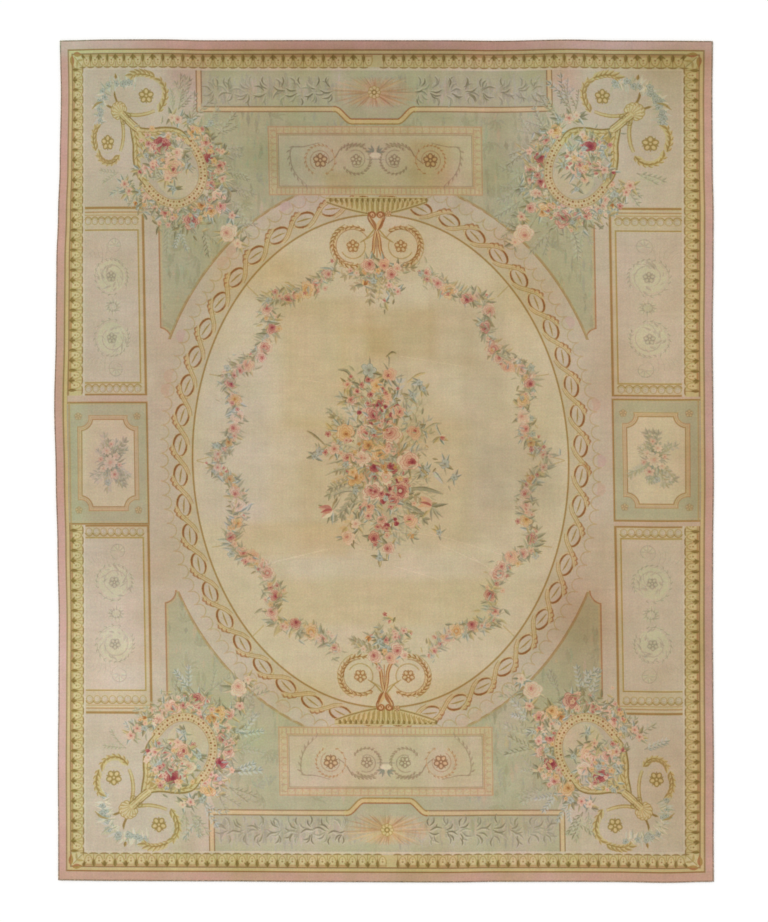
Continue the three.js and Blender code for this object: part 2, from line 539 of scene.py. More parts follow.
def rosette(pen, x, y, radius, petal, shade):
    """A five-petalled ornament in the yarns of its scroll."""
    for k in range(5):
        angle = 90 + 72 * k
        px, py = polar(x, y, angle, radius * 0.6)
        pen.disc(px, py, radius * 0.44, shade, radius * 0.38, angle)
        pen.disc(px, py, radius * 0.29, petal, radius * 0.22, angle)
        between = angle + 36
        pen.leaf(*polar(x, y, between, radius * 0.5), between, radius * 0.55, radius * 0.3, shade, None, 0.8)
    pen.disc(x, y, radius * 0.3, shade)
    pen.disc(x, y, radius * 0.15, petal)


def acanthus(pen, points, width, light, dark, lobes, side):
    """A leafy scroll: a tapering band with curled leaves along one side, and short ones opposite."""
    length = np.hypot(*np.diff(points, axis=0).T).sum()
    pen.stroke(points, width, light, 1.0, 0.5, 0.35)
    for x, y, heading in along_line(points, length / lobes)[:-1]:
        pen.leaf(x, y, heading - side * 32, width * 1.5, width * 0.7, light, dark, 0.9)
        pen.leaf(x, y, heading + side * 29, width * 2.5, width * 1.15, light, dark, 0.95)
    pen.stroke(points, width * 0.32, dark, 0.9, 0.6, 0.4)


# The border, from the outer rim inwards. Distances are from the outer side of its yellow stripe.
STRIPE_HALF_WIDTH = 1697.0
STRIPE_HALF_LENGTH = 2191.0
BORDER_DEPTH = 104.0
GUARD_GAP = 10.0
BAND_FROM = 21.0
BAND_TO = 88.0
DART_PITCH = 53.6
# The long sides' band leaves this half length free for the middle panels.
BAND_GAP = 352.0


def grounds(loom, ax, ay):
    """The large areas of colour, and the plain lines and stripes of the border."""
    depth = np.minimum(STRIPE_HALF_WIDTH - ax, STRIPE_HALF_LENGTH - ay)
    loom.fill(inside(depth + GUARD_GAP), "guard")
    loom.fill(line(depth + 5, 8), "brown")
    loom.fill(line(depth - 6.5, 13), "straw")
    loom.fill(line(depth - (BAND_FROM + BAND_TO) / 2, BAND_TO - BAND_FROM), "gold")
    loom.fill(line(depth - 18, 8), "brown")
    loom.fill(line(depth - 98.5, 10), mix("field", "ivory", 0.35))


# Ellipses about the middle, by half width and half height, from the spandrels' curved side inwards.
SPANDREL_CURVE = (1234, 1511)
SURROUND = (1228, 1505)
SURROUND_SIDE_X = 1240.0
SCALLOP_LINE = (1170, 1482)
RING_GROUND_OUTER = (1160, 1470)
RING_GROUND_INNER = (1060, 1370)
OVAL_LINE = (1004, 1316)
OVAL_GROUND = (1002, 1314)

# The green spandrels: where they start, towards the upper and the lower end, their straight side, the centre
# and radius of the notch at their start, and the slanted edge under the corner's flowers.
SPANDREL_UPPER = 652.0
SPANDREL_LOWER = 706.0
SPANDREL_SIDE_X = 1162.0
SPANDREL_NOTCH_X = 1175.0
SPANDREL_NOTCH_RADIUS = 70.0
GREEN_TOP_Y = 1866.0
GREEN_CORNER_X = 911.0
SLANT_FROM_Y = 1275.0
FAR_INSIDE = -1e3

# How far along the rug the lines of their straight and of their curved side run.
SIDE_LINE_TO_Y = 1260.0
CURVE_LINE_TO_Y = 1420.0


def green_field(loom, ax, ay, y):
    """The green ground behind the panels, with its pointed spandrels beside the oval."""
    start = np.where(y > 0, SPANDREL_UPPER, SPANDREL_LOWER)
    top = ay - GREEN_TOP_Y
    surround = -ellipse_distance(ax, ay, *SPANDREL_CURVE)
    side = ax - SPANDREL_SIDE_X
    notch = SPANDREL_NOTCH_RADIUS - np.hypot(ax - SPANDREL_NOTCH_X, ay - start + 12)
    low = start - ay
    run_x, run_y = SPANDREL_SIDE_X - GREEN_CORNER_X, GREEN_TOP_Y - SLANT_FROM_Y
    slant = ((ax - GREEN_CORNER_X) * run_y - (GREEN_TOP_Y - ay) * run_x) / math.hypot(run_x, run_y)
    slant = np.where(ay > SLANT_FROM_Y, slant, FAR_INSIDE)
    outside = np.maximum.reduce([top, surround, side, notch, low, slant])
    loom.fill(inside(outside), "green")
    edge = np.maximum(side, notch) * (surround < 4)
    in_reach = (ay < SIDE_LINE_TO_Y) & (ay > start - 12) & (surround < 4)
    loom.fill(line(edge, 8) * in_reach, mix("rust", "field", 0.3))
    loom.fill(line(edge + 10, 7) * in_reach * inside(edge), mix("straw", "green", 0.45))
    rim = (ay < CURVE_LINE_TO_Y) * inside(side) * (ay > start - 4)
    loom.fill(line(surround + 2, 13) * rim, mix("bronze", "field", 0.25))
    loom.fill(line(surround - 4, 4) * rim, mix("brown", "field", 0.1), 0.8)
    return outside


def oval(loom, x, y, ax):
    """The pale grounds under the ring, the middle's cream ground, and its thin bronze line."""
    surround = inside(ellipse_distance(x, y, *SURROUND)) * inside(ax - SURROUND_SIDE_X)
    loom.fill(surround, mix("field", "pink", 0.16))
    loom.fill(inside(ellipse_distance(x, y, *RING_GROUND_OUTER)), mix("field", "mist", 0.35))
    loom.fill(inside(ellipse_distance(x, y, *RING_GROUND_INNER)), mix("stone", "straw", 0.25))
    loom.fill(inside(ellipse_distance(x, y, *OVAL_GROUND)), "cream")
    loom.fill(line(ellipse_distance(x, y, *OVAL_LINE), 9), mix("bronze", "olive", 0.5), 0.95)


def border_band(loom):
    """Egg-and-dart: long and winged darts by turns from the outer line, eggs between, and dashes inside."""
    across = (STRIPE_HALF_WIDTH, STRIPE_HALF_LENGTH, BAND_GAP)
    along = (STRIPE_HALF_LENGTH, STRIPE_HALF_WIDTH, 0.0)
    chance = random.Random(5)
    sides = (((-1, 0), across), ((1, 0), across), ((0, 1), along), ((0, -1), along))
    for out, (distance, run, gap) in sides:
        count = int((run - BAND_TO) / DART_PITCH)
        for k in range(-count, count + 1):
            if abs(k * DART_PITCH) > gap:
                band_repeat(loom, out, distance, k * DART_PITCH, k % 2, chance)


def band_repeat(loom, out, distance, at, is_long, chance):
    """One dart and the egg after it. Places are given by depth from the stripe and by distance along it."""
    out_x, out_y = out
    inward = math.degrees(math.atan2(-out_y, -out_x))

    def place(depth, aside):
        reach, along = distance - depth, at + aside
        return out_x * reach + abs(out_y) * along, out_y * reach + abs(out_x) * along

    half = DART_PITCH / 2
    bar = [place(28, 9), place(28, DART_PITCH - 9)]
    loom.stroke(bar, 9, mix("rust", "gold", 0.25), chance.uniform(0.35, 0.8))
    egg = [place(26, half - 17), place(52, half - 20), place(74, half - 11), place(80, half),
           place(74, half + 11), place(52, half + 20), place(26, half + 17)]
    loom.disc(*place(54, half), 19, mix("straw", "ivory", 0.25), 13, inward, 0.75)
    loom.stroke(curve(egg, 3), 4.5, "bronze", 0.85)
    loom.disc(*place(50, half), 4.5, "brown", strength=0.9)
    loom.disc(*place(64, half), 4, "bronze", strength=0.7)
    if is_long:
        loom.leaf(*place(18, 0), inward, 46, 15, "moss", "olive", 0.95)
    else:
        loom.leaf(*place(18, 0), inward, 36, 17, "olive", "moss", 0.95)
        for aside in (-1, 1):
            loom.leaf(*place(26, aside * 2), inward + aside * 48, 26, 9, "moss", None, 0.75)
    loom.stroke([place(60, 0), place(84, 0)], 4.5, "brown", 0.65)
    dash = [place(87, -20), place(90, -9), place(90, 9), place(87, 20)]
    loom.stroke(dash, 7.5, "olive", 0.95, 0.6, 0.6)


def border_corners(loom):
    """The band's corners: a pale slanting leaf between two rusty ones."""
    for _ in loom.quarters():
        x, y = STRIPE_HALF_WIDTH - BAND_FROM - 1, STRIPE_HALF_LENGTH - BAND_FROM - 1
        loom.disc(x - 34, y - 34, 36, mix("gold", "ivory", 0.15))
        loom.leaf(x - 12, y - 12, -135, 76, 36, mix("gold", "ivory", 0.35), "gold")
        loom.leaf(x + 6, y - 4, -95, 60, 26, "rust", "bronze", 0.8)
        loom.leaf(x - 4, y + 6, -175, 60, 26, "rust", "bronze", 0.8)
        loom.stroke([(x - 10, y - 10), (x - 64, y - 64)], 4, "olive", 0.8)
        for side in (-1, 1):
            loom.leaf(x - 30, y - 30, -135 + side * 50, 42, 12, "bronze", None, 0.7)


# The laurel panel at each end: its frame dips round the sunburst.
LAUREL_HALF_WIDTH = 936.0
LAUREL_Y = 1880.0
LAUREL_DIP = 66.0
DIP_FROM = 122.0
DIP_TO = 212.0
LAUREL_STREAKS = 420
BRANCH_Y = 1980.0
SUNBURST_Y = 1970.0
SUNBURST_RAYS = 90
SUNBURST_RISE = 82.0

# Where each whorl of laurel leaves stands, and the headings of its leaves.
LAUREL_WHORLS = (236, 318, 404, 492, 582, 676, 772, 856)
WHORL_HEADINGS = (-90, -62, -36, -12, 14, 40, 66, 94)


def dip(x):
    """How far the frame's line dips towards the oval."""
    return LAUREL_DIP * (1 - smoothstep(np.abs(x), DIP_FROM, DIP_TO))


def laurel_panels(loom, ax, ay):
    """The panel's faded ground and frame, four branches of laurel and two sunbursts."""
    down = LAUREL_Y - dip(ax) - ay
    distance = np.maximum(down, ax - LAUREL_HALF_WIDTH)
    within = inside(ay - STRIPE_HALF_LENGTH + BORDER_DEPTH)
    loom.fill(inside(distance) * within, "grey")
    straight = within * (ax > DIP_TO)
    loom.fill(line(distance, 22) * straight, mix("straw", "cream", 0.3))
    for side in (-1, 1):
        loom.fill(line(distance - side * 13, 6.5) * straight, mix("brown", "sepia", 0.4))
    x = np.linspace(-DIP_TO - 4, DIP_TO + 4, 90)
    frame_line = np.stack([x, LAUREL_Y - dip(x)], 1)
    chance = random.Random(73)
    for _ in loom.ends():
        for _ in range(LAUREL_STREAKS):
            dye_streak(loom, chance.uniform(-900, 900), chance.uniform(1900, 1980), "grey", chance)
        loom.stroke(frame_line, 26, mix("straw", "lemon", 0.3))
        loom.stroke(beside(frame_line, 13), 7, mix("brown", "rust", 0.4))
        loom.stroke(beside(frame_line, -13), 7, mix("bronze", "brown", 0.4))
    for number in loom.quarters():
        laurel_branch(loom, random.Random(11 + number))
    for _ in loom.ends():
        sunburst(loom, random.Random(17))


def bent_leaf(pen, x, y, angle, length, width, bend, colour, strength=1.0):
    """A narrow curved leaf."""
    mx, my = polar(x, y, angle + bend, length * 0.55)
    ex, ey = polar(x, y, angle, length)
    pen.stroke(curve([(x, y), (mx, my), (ex, ey)], 4), width, colour, strength, 0.3, 0.15)


def laurel_branch(loom, chance):
    """Whorls of curved leaves, each pale with one dark side, that lean towards the panel's end."""
    light = mix("mist", "ivory", 0.3)
    for whorl_x in LAUREL_WHORLS:
        fade = 1.3 - 0.6 * (whorl_x - LAUREL_WHORLS[0]) / (LAUREL_WHORLS[-1] - LAUREL_WHORLS[0])
        for angle in WHORL_HEADINGS:
            x, y = whorl_x + chance.uniform(-18, 18), BRANCH_Y + angle * 0.34 + chance.uniform(-8, 8)
            heading, bend = angle + chance.uniform(-14, 14), chance.choice((-20, 18))
            length = chance.uniform(56, 80) * (1 - 0.3 * abs(math.sin(math.radians(heading))))
            dark = chance.choice(("slate", "teal", "leaf_deep", "leaf_deep"))
            bent_leaf(loom, x, y, heading, length, 17, bend, light, 0.5 * fade)
            bent_leaf(loom, x, y - 5, heading, length, 9, bend, dark, min(0.95, 0.85 * fade))


def sunburst(loom, chance):
    """Thin salmon rays about a yellow rosette, long to the sides and short up and down."""
    y = SUNBURST_Y
    loom.disc(0, y, 230, mix("tan", "grey", 0.3), 78, strength=0.35)
    for k in range(SUNBURST_RAYS):
        angle = 360 / SUNBURST_RAYS * k + chance.uniform(-3, 3)
        rise = abs(math.sin(math.radians(angle)))
        reach = min(chance.uniform(130, 260), SUNBURST_RISE / max(rise, 0.3))
        yarn = chance.choice(("peach", "tan", "rust", "amber"))
        loom.leaf(0, y, angle, reach, 10, mix(yarn, "grey", 0.25), None, chance.uniform(0.3, 0.7))
    for k in range(8):
        angle = 45 * k
        loom.disc(*polar(0, y, angle, 23), 13, "bronze")
        loom.disc(*polar(0, y, angle, 23), 9, "straw")
    loom.disc(0, y, 14, "olive")
    loom.disc(0, y, 7, "lemon")


# The scroll panel between the laurel panel and the oval: half its width, its middle, half its height.
SCROLL_OUTER = (572.0, 1604.5, 184.5)
SCROLL_INNER = (516.0, 1605.0, 137.0)


def box_distance(ax, ay, box):
    half_width, middle, half_height = box
    return np.maximum(ax - half_width, np.abs(ay - middle) - half_height)


def scroll_panels(loom, ax, ay):
    """A faded panel of running scrolls in a moulding of small arches and ticks."""
    outer = box_distance(ax, ay, SCROLL_OUTER)
    inner = box_distance(ax, ay, SCROLL_INNER)
    loom.fill(inside(outer), mix("straw", "stone", 0.55))
    loom.fill(inside(inner), "stone")
    loom.fill(line(outer + 3, 6), mix("rust", "stone", 0.62))
    loom.fill(line(inner - 8, 5), mix("rust", "stone", 0.55))
    loom.fill(line(inner, 5), mix("sepia", "stone", 0.2), 0.8)
    for _ in loom.ends():
        moulding(loom)
    for _ in loom.quarters():
        running_scrolls(loom)
    for _ in loom.ends():
        for side in (-1, 1):
            for k in range(3):
                loom.leaf(side * 8, 1652, 90 - side * (22 + 34 * k), 40, 13, "slate", "blue", 0.7)
        loom.disc(0, 1634, 30, mix("ivory", "stone", 0.4), 14)
        loom.stroke([(-44, 1612), (44, 1612)], 4.5, "slate", 0.5)


def moulding(loom):
    """Arches along the outer side and the ends, ticks along the inner side."""
    yarn = mix("rust", "stone", 0.55)
    half_width, middle, half_height = SCROLL_OUTER
    for k in range(-14, 15):
        x, y = k * 39, middle + half_height - 24
        loom.stroke(arc(x, y - 8, 14, 0, 180, 7), 4, yarn, 0.4)
        loom.stroke([(x + 19.5, y - 15), (x + 19.5, y + 15)], 5, yarn, 0.7)
    for k in range(-24, 25):
        x, y = k * 23, middle - half_height + 24
        loom.stroke([(x, y - 14), (x, y + 12)], 4.5, yarn, 0.75)
    for k in range(-4, 5):
        y = middle + k * 36
        for side in (-1, 1):
            x = side * (half_width - 27)
            loom.stroke(arc(x, y, 13, 90, 270, 7), 4, yarn, 0.6)
            loom.stroke([(x - 14, y + 18), (x + 14, y + 18)], 4.5, yarn, 0.7)


def running_scrolls(loom):
    """The inner and the outer scroll of one half, joined by a long S, and a tendril at the end."""
    light, dark = mix("sepia", "stone", 0.6), mix("sepia", "stone", 0.05)
    inner_x, outer_x = 102, 294
    s_line = curve([(256, 1588), (214, 1622), (184, 1668), (130, 1688), (62, 1688)], 6)
    loom.stroke(s_line, 6, dark, 0.9, 0.6, 0.4)
    acanthus(loom, curve([(186, 1662), (150, 1686), (100, 1690), (52, 1686)], 6), 9, light, dark, 7, -1)
    for radius, start, end, side in ((76, 150, 40, -1), (76, 330, 236, 1), (74, 236, 150, 1)):
        acanthus(loom, arc(inner_x, 1611, radius, start, end, 12), 8, light, dark, 7, side)
    loom.disc(inner_x, 1611, 46, mix("mist", "stone", 0.5), strength=0.5)
    loom.stroke(spiral(inner_x, 1611, 52, 40, 60, 300, 16), 5, dark, 0.6)
    rosette(loom, inner_x, 1608, 31, mix("stone", "mist", 0.3), dark)
    pale, rusty = mix("tan", "stone", 0.5), mix("rust_deep", "stone", 0.35)
    for start, end in ((120, 30), (30, -70), (250, 120)):
        acanthus(loom, arc(outer_x, 1608, 78, start, end, 12), 7, pale, rusty, 6, 1)
    loom.stroke(spiral(outer_x, 1608, 56, 46, -60, 200, 16), 5, rusty, 0.5)
    rosette(loom, outer_x, 1606, 38, mix("tan", "stone", 0.4), mix("rust_deep", "sepia", 0.5))
    tendril = curve([(300, 1700), (380, 1680), (446, 1672), (452, 1600), (424, 1530), (372, 1478)], 6)
    loom.stroke(tendril, 6, dark, 0.7, 0.5, 0.3)
    for x, y, heading in along_line(tendril[10:], 30):
        loom.leaf(x, y, heading + 30, 30, 10, light, dark, 0.7)


# The side panels: where their frames start, and their ends along the rug.
SIDE_OUTER_X = 1244.0
SIDE_INNER_X = 1273.0
SIDE_FAR_Y = 1352.0
SIDE_NEAR_Y = 346.0
SIDE_FIELD_FAR_Y = 1232.0
SIDE_FIELD_NEAR_Y = 412.0
FIELD_HALF_WIDTH = STRIPE_HALF_WIDTH - BORDER_DEPTH
CIRCLE_ROWS_Y = (1276.0, 380.0)
CIRCLES = 8

# The faint arabesques in them: their middle, the two large scrolls and the arcs that make each one.
ARABESQUE_FADE = 0.3
ARABESQUE_X = 1436
ARABESQUE_SCROLLS = ((982, 1), (652, -1))
ARABESQUE_ARCS = ((-110, -20, -1), (-20, 70, -1), (70, 150, 1), (150, 215, -1))


def side_panels(loom, ax, ay):
    """Tall panels with a double frame, a strip of running circles at each end and faint arabesques."""
    outer = np.maximum.reduce([SIDE_OUTER_X - ax, ay - SIDE_FAR_Y, SIDE_NEAR_Y - ay])
    inner = np.maximum.reduce([SIDE_INNER_X - ax, ay - SIDE_FIELD_FAR_Y, SIDE_FIELD_NEAR_Y - ay])
    field = inside(ax - FIELD_HALF_WIDTH)
    loom.fill(inside(outer) * field, mix("straw", "panel", 0.55))
    loom.fill(line(outer + 3, 13) * field, mix("brown", "bronze", 0.35))
    loom.fill(inside(inner) * field, "panel")
    loom.fill(line(inner + 2, 8) * field, "bronze", 0.95)
    loom.fill(line(ay - SIDE_FAR_Y + 26, 6) * inside(outer) * field, mix("brown", "straw", 0.3))
    loom.fill(line(ay - SIDE_FAR_Y + 42, 5) * inside(outer) * field, "bronze", 0.7)
    for number in loom.quarters():
        for y in CIRCLE_ROWS_Y:
            running_circles(loom, SIDE_INNER_X - 2, FIELD_HALF_WIDTH, y)
        loom.fade = ARABESQUE_FADE
        arabesque(loom, random.Random(19 + number))
        loom.fade = 0.0


def running_circles(loom, start, end, y):
    """Circles with a dot, side by side, under a row of short arcs."""
    pitch = (end - start) / CIRCLES
    for k in range(CIRCLES):
        x = start + pitch * (k + 0.5)
        loom.disc(x, y, 19, mix("panel", "mist", 0.4))
        loom.stroke(arc(x, y, 17, 0, 360, 15), 4.5, mix("bronze", "panel", 0.15), 0.8)
        loom.stroke(arc(x - 3, y, 8, 40, 300, 8), 4, mix("bronze", "panel", 0.5), 0.6)
        loom.stroke(arc(x, y + 4, 21, 20, 160, 7), 5.5, mix("olive", "bronze", 0.4), 0.9)


def arabesque(loom, chance):
    """Two large faint leafy scrolls about a palmette, with a small scroll at each end."""
    dark, light = mix("slate", "panel", 0.1), mix("mist", "ivory", 0.4)
    middle_yarn = mix(light, "panel", 0.6)
    x = ARABESQUE_X
    for y, up in ARABESQUE_SCROLLS:
        loom.disc(x, y, 84, light, strength=0.25)
        for start, end, side in ARABESQUE_ARCS:
            acanthus(loom, arc(x, y, 97, start * up, end * up, 12), 9, middle_yarn, dark, 5, side * up)
        loom.stroke(spiral(x, y, 74, 50, 230 * up, -60 * up, 22), 5, dark, 0.6, 0.4, 0.5)
        for _ in range(16):
            angle, far = chance.uniform(0, 360), chance.uniform(34, 78)
            yarn = chance.choice((light, light, mix(dark, "panel", 0.3)))
            loom.leaf(*polar(x, y, angle, far), angle + 70, chance.uniform(26, 50), 12, yarn, dark, 0.5)
        rosette(loom, x, y, 30, light, dark)
        small = y + up * 164
        loom.stroke(spiral(x - 24, small, 46, 30, -80 * up, 280 * up, 20), 5, dark, 0.7, 0.5, 0.4)
        for k in range(5):
            loom.leaf(x - 24, small, 90 * up + (k - 2) * 44, 46, 14, light, dark, 0.5)
        for k in range(5):
            foot, heading = (x + 34 + 18 * k, y + up * 96), (90 - 12 * k) * up
            bent_leaf(loom, *foot, heading, 92 - 9 * k, 6, 12, dark, 0.4)
    for k in range(9):
        angle = (k - 4) * 24
        for y, heading in ((806, 90), (834, -90)):
            loom.leaf(x - 8, y, heading + angle, 66 - abs(angle) * 0.2, 15, light, dark, 0.75)
    loom.disc(x - 8, 820, 22, light, 16, strength=0.8)
    loom.stroke(arc(x - 8, 820, 24, 0, 360, 17), 4.5, dark, 0.7)


# The middle panels: half their green height, the cream centre's middle and half sizes, its cut corners, and
# how far the left and the right panel lie from the rug's middle.
MIDDLE_HALF_Y = 324.0
CENTRE_X = 1463.0
CENTRE_HALF_X = 157.0
CENTRE_HALF_Y = 243.0
NOTCH = 60.0
MIDDLE_DROP = {-1: -16.0, 1: 6.0}
BUNCH_X = 1452.0
SMALL_BUNCH_FADE = 0.25
BUNCH_SPRIGS = (("mist", "teal"), ("mist", "leaf_olive"), ("teal", "slate"), ("mist", "blue"))
BUNCH_FLOWERS = (
    (0, 0, 40, "daisy-blush"), (-24, -64, 27, "bloom-pink"), (20, 62, 24, "daisy-blush"),
    (-34, 34, 20, "bloom-blush"), (40, -34, 20, "bloom-blush"), (-6, 98, 16, "bloom-pink"),
    (14, -108, 18, "bloom-blue"), (54, 16, 15, "bloom-pink"), (-52, -14, 15, "bloom-pink"),
)


def middle_panels(loom, x, y, ax):
    """The green panels halfway down each side, with a pale centre whose corners are cut in."""
    ay = np.abs(y - np.where(x < 0, MIDDLE_DROP[-1], MIDDLE_DROP[1]))
    outer = np.maximum(SIDE_OUTER_X - ax, ay - MIDDLE_HALF_Y)
    within = inside(ax - STRIPE_HALF_WIDTH + 14)
    gap = inside(np.abs(y) - SIDE_NEAR_Y) * inside(SIDE_OUTER_X - 4 - ax) * within
    loom.fill(gap, mix("field", "guard", 0.35))
    loom.fill(inside(outer) * within, "green")
    loom.fill(line(outer, 10) * within, mix("brown", "bronze", 0.5), 0.95)
    loom.fill(line(outer + 11, 5) * within, mix("straw", "green", 0.4), 0.8)
    loom.fill(line(ax - STRIPE_HALF_WIDTH + 24, 9) * inside(outer), mix("brown", "tan", 0.5), 0.75)
    box = np.maximum(np.abs(ax - CENTRE_X) - CENTRE_HALF_X, ay - CENTRE_HALF_Y)
    notch = NOTCH - np.hypot(np.abs(ax - CENTRE_X) - CENTRE_HALF_X, ay - CENTRE_HALF_Y)
    centre = np.maximum(box, notch)
    loom.fill(inside(centre), mix("panel", "cream", 0.3))
    loom.fill(line(centre, 22), mix("tan", "panel", 0.45))
    loom.fill(line(centre - 1, 5), mix("bronze", "panel", 0.45), 0.8)
    loom.fill(line(centre + 9, 6), mix("brown", "bronze", 0.4), 0.85)
    loom.fill(line(centre - 11, 5.5), mix("brown", "tan", 0.4), 0.8)
    petal, shade = mix("tan", "green", 0.4), mix("brown", "green", 0.45)
    for side, drop in MIDDLE_DROP.items():
        loom.flip = (side, 1)
        for corner_x in (CENTRE_X - CENTRE_HALF_X - 8, CENTRE_X + CENTRE_HALF_X + 8):
            for corner_y in (-CENTRE_HALF_Y - 8, CENTRE_HALF_Y + 8):
                rosette(loom, corner_x, corner_y + drop, 20, petal, shade)
        small_bouquet(loom, BUNCH_X, drop + 4, random.Random(23 + side))
    loom.flip = (1, 1)


def small_bouquet(loom, x, y, chance):
    """An upright bunch of pale open flowers in slender grey-blue leaves."""
    loom.fade = SMALL_BUNCH_FADE
    for k in range(34):
        angle = 90 + chance.uniform(-56, 56) + (180 if k % 2 else 0)
        yarns = chance.choice(BUNCH_SPRIGS)
        sprig(loom, x, y, angle, chance.uniform(70, 168), chance, 5, yarns, chance.uniform(0.5, 0.9))
    for k in range(22):
        yarn = chance.choice(("leaf_deep", "slate", "teal", "blue"))
        bent_leaf(loom, x, y, 16.5 * k, chance.uniform(60, 96), 9, 14, yarn, 0.8)
    for dx, dy, radius, kind in BUNCH_FLOWERS:
        flower(loom, kind, x + dx, y + dy, radius, chance)
    loom.fade = 0.0


# The ring of twisted ribbon round the oval: half its width and height, its links in one quarter, and the
# part of the ellipse, in degrees, that a quarter's links and their ribbon can reach.
RING_HALF_WIDTH = 1071.0
RING_HALF_HEIGHT = 1381.0
RING_LINKS = 12
RING_FROM, RING_TO = -12, 102
RING_STEPS = 600

# A link's opening along the ring and out from it, its slant, and how far out its straps start and end.
OPENING_HALF_LENGTH = 56.0
OPENING_HALF_HEIGHT = 31.0
OPENING_SLANT = 0.04
STRAP_OUT = 42


def ribbon_opening(loom, place):
    """One opening, dark at its leading outer and trailing inner end, with a leaf's vein."""
    def rim(first, last, grow=0.0):
        """An arc of the opening's rim between two angles, moved out by grow."""
        turn = np.radians(np.linspace(first, last, 16))
        along = (OPENING_HALF_LENGTH + grow) * np.cos(turn)
        return place(along, (OPENING_HALF_HEIGHT + grow) * np.sin(turn) - OPENING_SLANT * along)

    dark = mix("rust_deep", "moss", 0.2)
    loom.stroke(place([-26, 26], [1, -1]), 58, mix("field", "panel", 0.5), 0.8)
    for first, last in ((0, 180), (180, 360)):
        loom.stroke(rim(first, last, 7), 13, mix("straw", "cream", 0.45), 0.9)
        loom.stroke(rim(first, last, 0), 4.5, mix("rust_deep", "bronze", 0.6), 0.65)
    loom.stroke(rim(90, 200, 14), 4.5, mix("bronze", "straw", 0.2), 0.7)
    loom.stroke(rim(-8, 112, 5), 10.5, dark, 0.95, 0.3, 0.3)
    loom.stroke(rim(200, 290, 4), 9.5, dark, 0.85, 0.35, 0.3)
    loom.stroke(rim(112, 176, 8), 8, "rust", 0.75, 0.5, 0.4)
    vein = curve(place([-36, -14, 14, 38], [7, 3, -2, -8]), 4)
    loom.stroke(vein, 9, mix("bronze", "straw", 0.3), 0.9, 0.4, 0.3)
    loom.stroke(vein, 4.5, mix("olive", "brown", 0.4), 0.85, 0.5, 0.3)
    loom.stroke(place([-6, 16], [2, 14]), 4.5, mix("bronze", "brown", 0.3), 0.7, 0.5, 0.3)


def ribbon_strap(loom, place, pitch):
    """The ribbon from this opening's inner side to the next one's outer side, with rusty curls."""
    along = [2, 40, pitch / 2, pitch - 40, pitch - 2]
    strap = curve(place(along, [-STRAP_OUT, -30, 0, 30, STRAP_OUT]), 7)
    edge = mix("bronze", "brown", 0.4)
    loom.stroke(strap, 24, mix("straw", "cream", 0.5), 1, 0.3, 0.35)
    for offset, strength in ((-10, 0.85), (-1, 0.5), (10, 0.85)):
        loom.stroke(beside(strap, offset), 4.5, edge, strength, 0.6, 0.6)
    for back, out in ((-64, 22), (-46, 38), (-24, 46)):
        curl = curve(place(pitch + back + np.array([-12, 2, 14]), [out - 2, out + 9, out + 1]), 3)
        loom.stroke(curl, 8, mix("rust", "rust_deep", 0.3), 0.75, 0.5, 0.4)
        loom.stroke(place(pitch + back + np.array([-5, 7]), [out - 1, out - 1]), 5, "tan", 0.8)


def ribbon_ring(loom):
    """Oval openings joined by straps of ribbon that all turn the same way round the ring."""
    span = ellipse_line(RING_HALF_WIDTH, RING_HALF_HEIGHT, RING_FROM, RING_TO, RING_STEPS)
    steps = line_lengths(span)
    angles = np.linspace(RING_FROM, RING_TO, RING_STEPS)
    before_axis, quarter = (np.interp(angle, angles, steps) for angle in (0, 90))
    pitch = (quarter - before_axis) / RING_LINKS
    outward = span / np.array([RING_HALF_WIDTH, RING_HALF_HEIGHT]) ** 2
    outward /= np.hypot(*outward.T)[:, None]

    def point(at, out):
        """Points at the given distances along the ring and out from it."""
        at, out = before_axis + np.asarray(at, dtype=float), np.asarray(out, dtype=float)
        base = np.stack([np.interp(at, steps, span[:, k]) for k in (0, 1)], -1)
        normal = np.stack([np.interp(at, steps, outward[:, k]) for k in (0, 1)], -1)
        return base + normal * out[..., None]

    def link(k, way):
        """The place of a point in one link, by its distance from the link's middle and out from the ring."""
        middle = (k + 0.5) * pitch
        return lambda along, out: point(middle + way * np.asarray(along), out)

    for _ in loom.quarters():
        places = [link(k, -loom.flip[0] * loom.flip[1]) for k in range(RING_LINKS)]
        for place in places:
            ribbon_opening(loom, place)
        for place in places:
            ribbon_strap(loom, place, pitch)


SCALLOP_PITCH = 73.0


def scallops(loom):
    """A row of rounded lobes that hang from the surround's outer line towards the ring."""
    quarter = ellipse_line(*SCALLOP_LINE, 0, 84)
    edge = mix("bronze", "field", 0.35)
    for number in loom.quarters():
        chance = random.Random(27 + number)
        for x, y, heading in along_line(quarter, SCALLOP_PITCH)[::-1]:
            inward = heading + 90
            loom.disc(x, y, 37, mix("field", "guard", chance.uniform(0, 0.28)), strength=0.7)
            loom.stroke(arc(x, y, 36, inward - 100, inward + 84, 12), 5, edge, chance.uniform(0.5, 0.85))


def crowns(loom):
    """At each end of the oval: a wide fan, a rusty acanthus stem and two leafy scrolls."""
    for up in loom.ends():
        fan(loom)
        for side in (-1, 1):
            loom.flip = (side, up)
            crown_stem(loom)
            crown_scroll(loom)
        loom.flip = (1, up)
        loom.stroke([(0, 1090), (0, 1215)], 5, "rust_deep", 0.7)
        rosette(loom, 64, 1322, 17, mix("peach", "cream", 0.2), "brown")
        crown_flowers(loom, random.Random(31 + up))


# The fan: its straight upper edge, the lowest point of its bowl, half its width, and its tongues.
FAN_TOP = 1404.0
FAN_LOW = 1318.0
FAN_HALF_WIDTH = 268.0
FAN_TONGUES = 9
TONGUE_PITCH = 28.5


def fan_rim(x):
    """The height of the bowl's rim."""
    return FAN_LOW + (abs(x) / FAN_HALF_WIDTH) ** 1.5 * 66


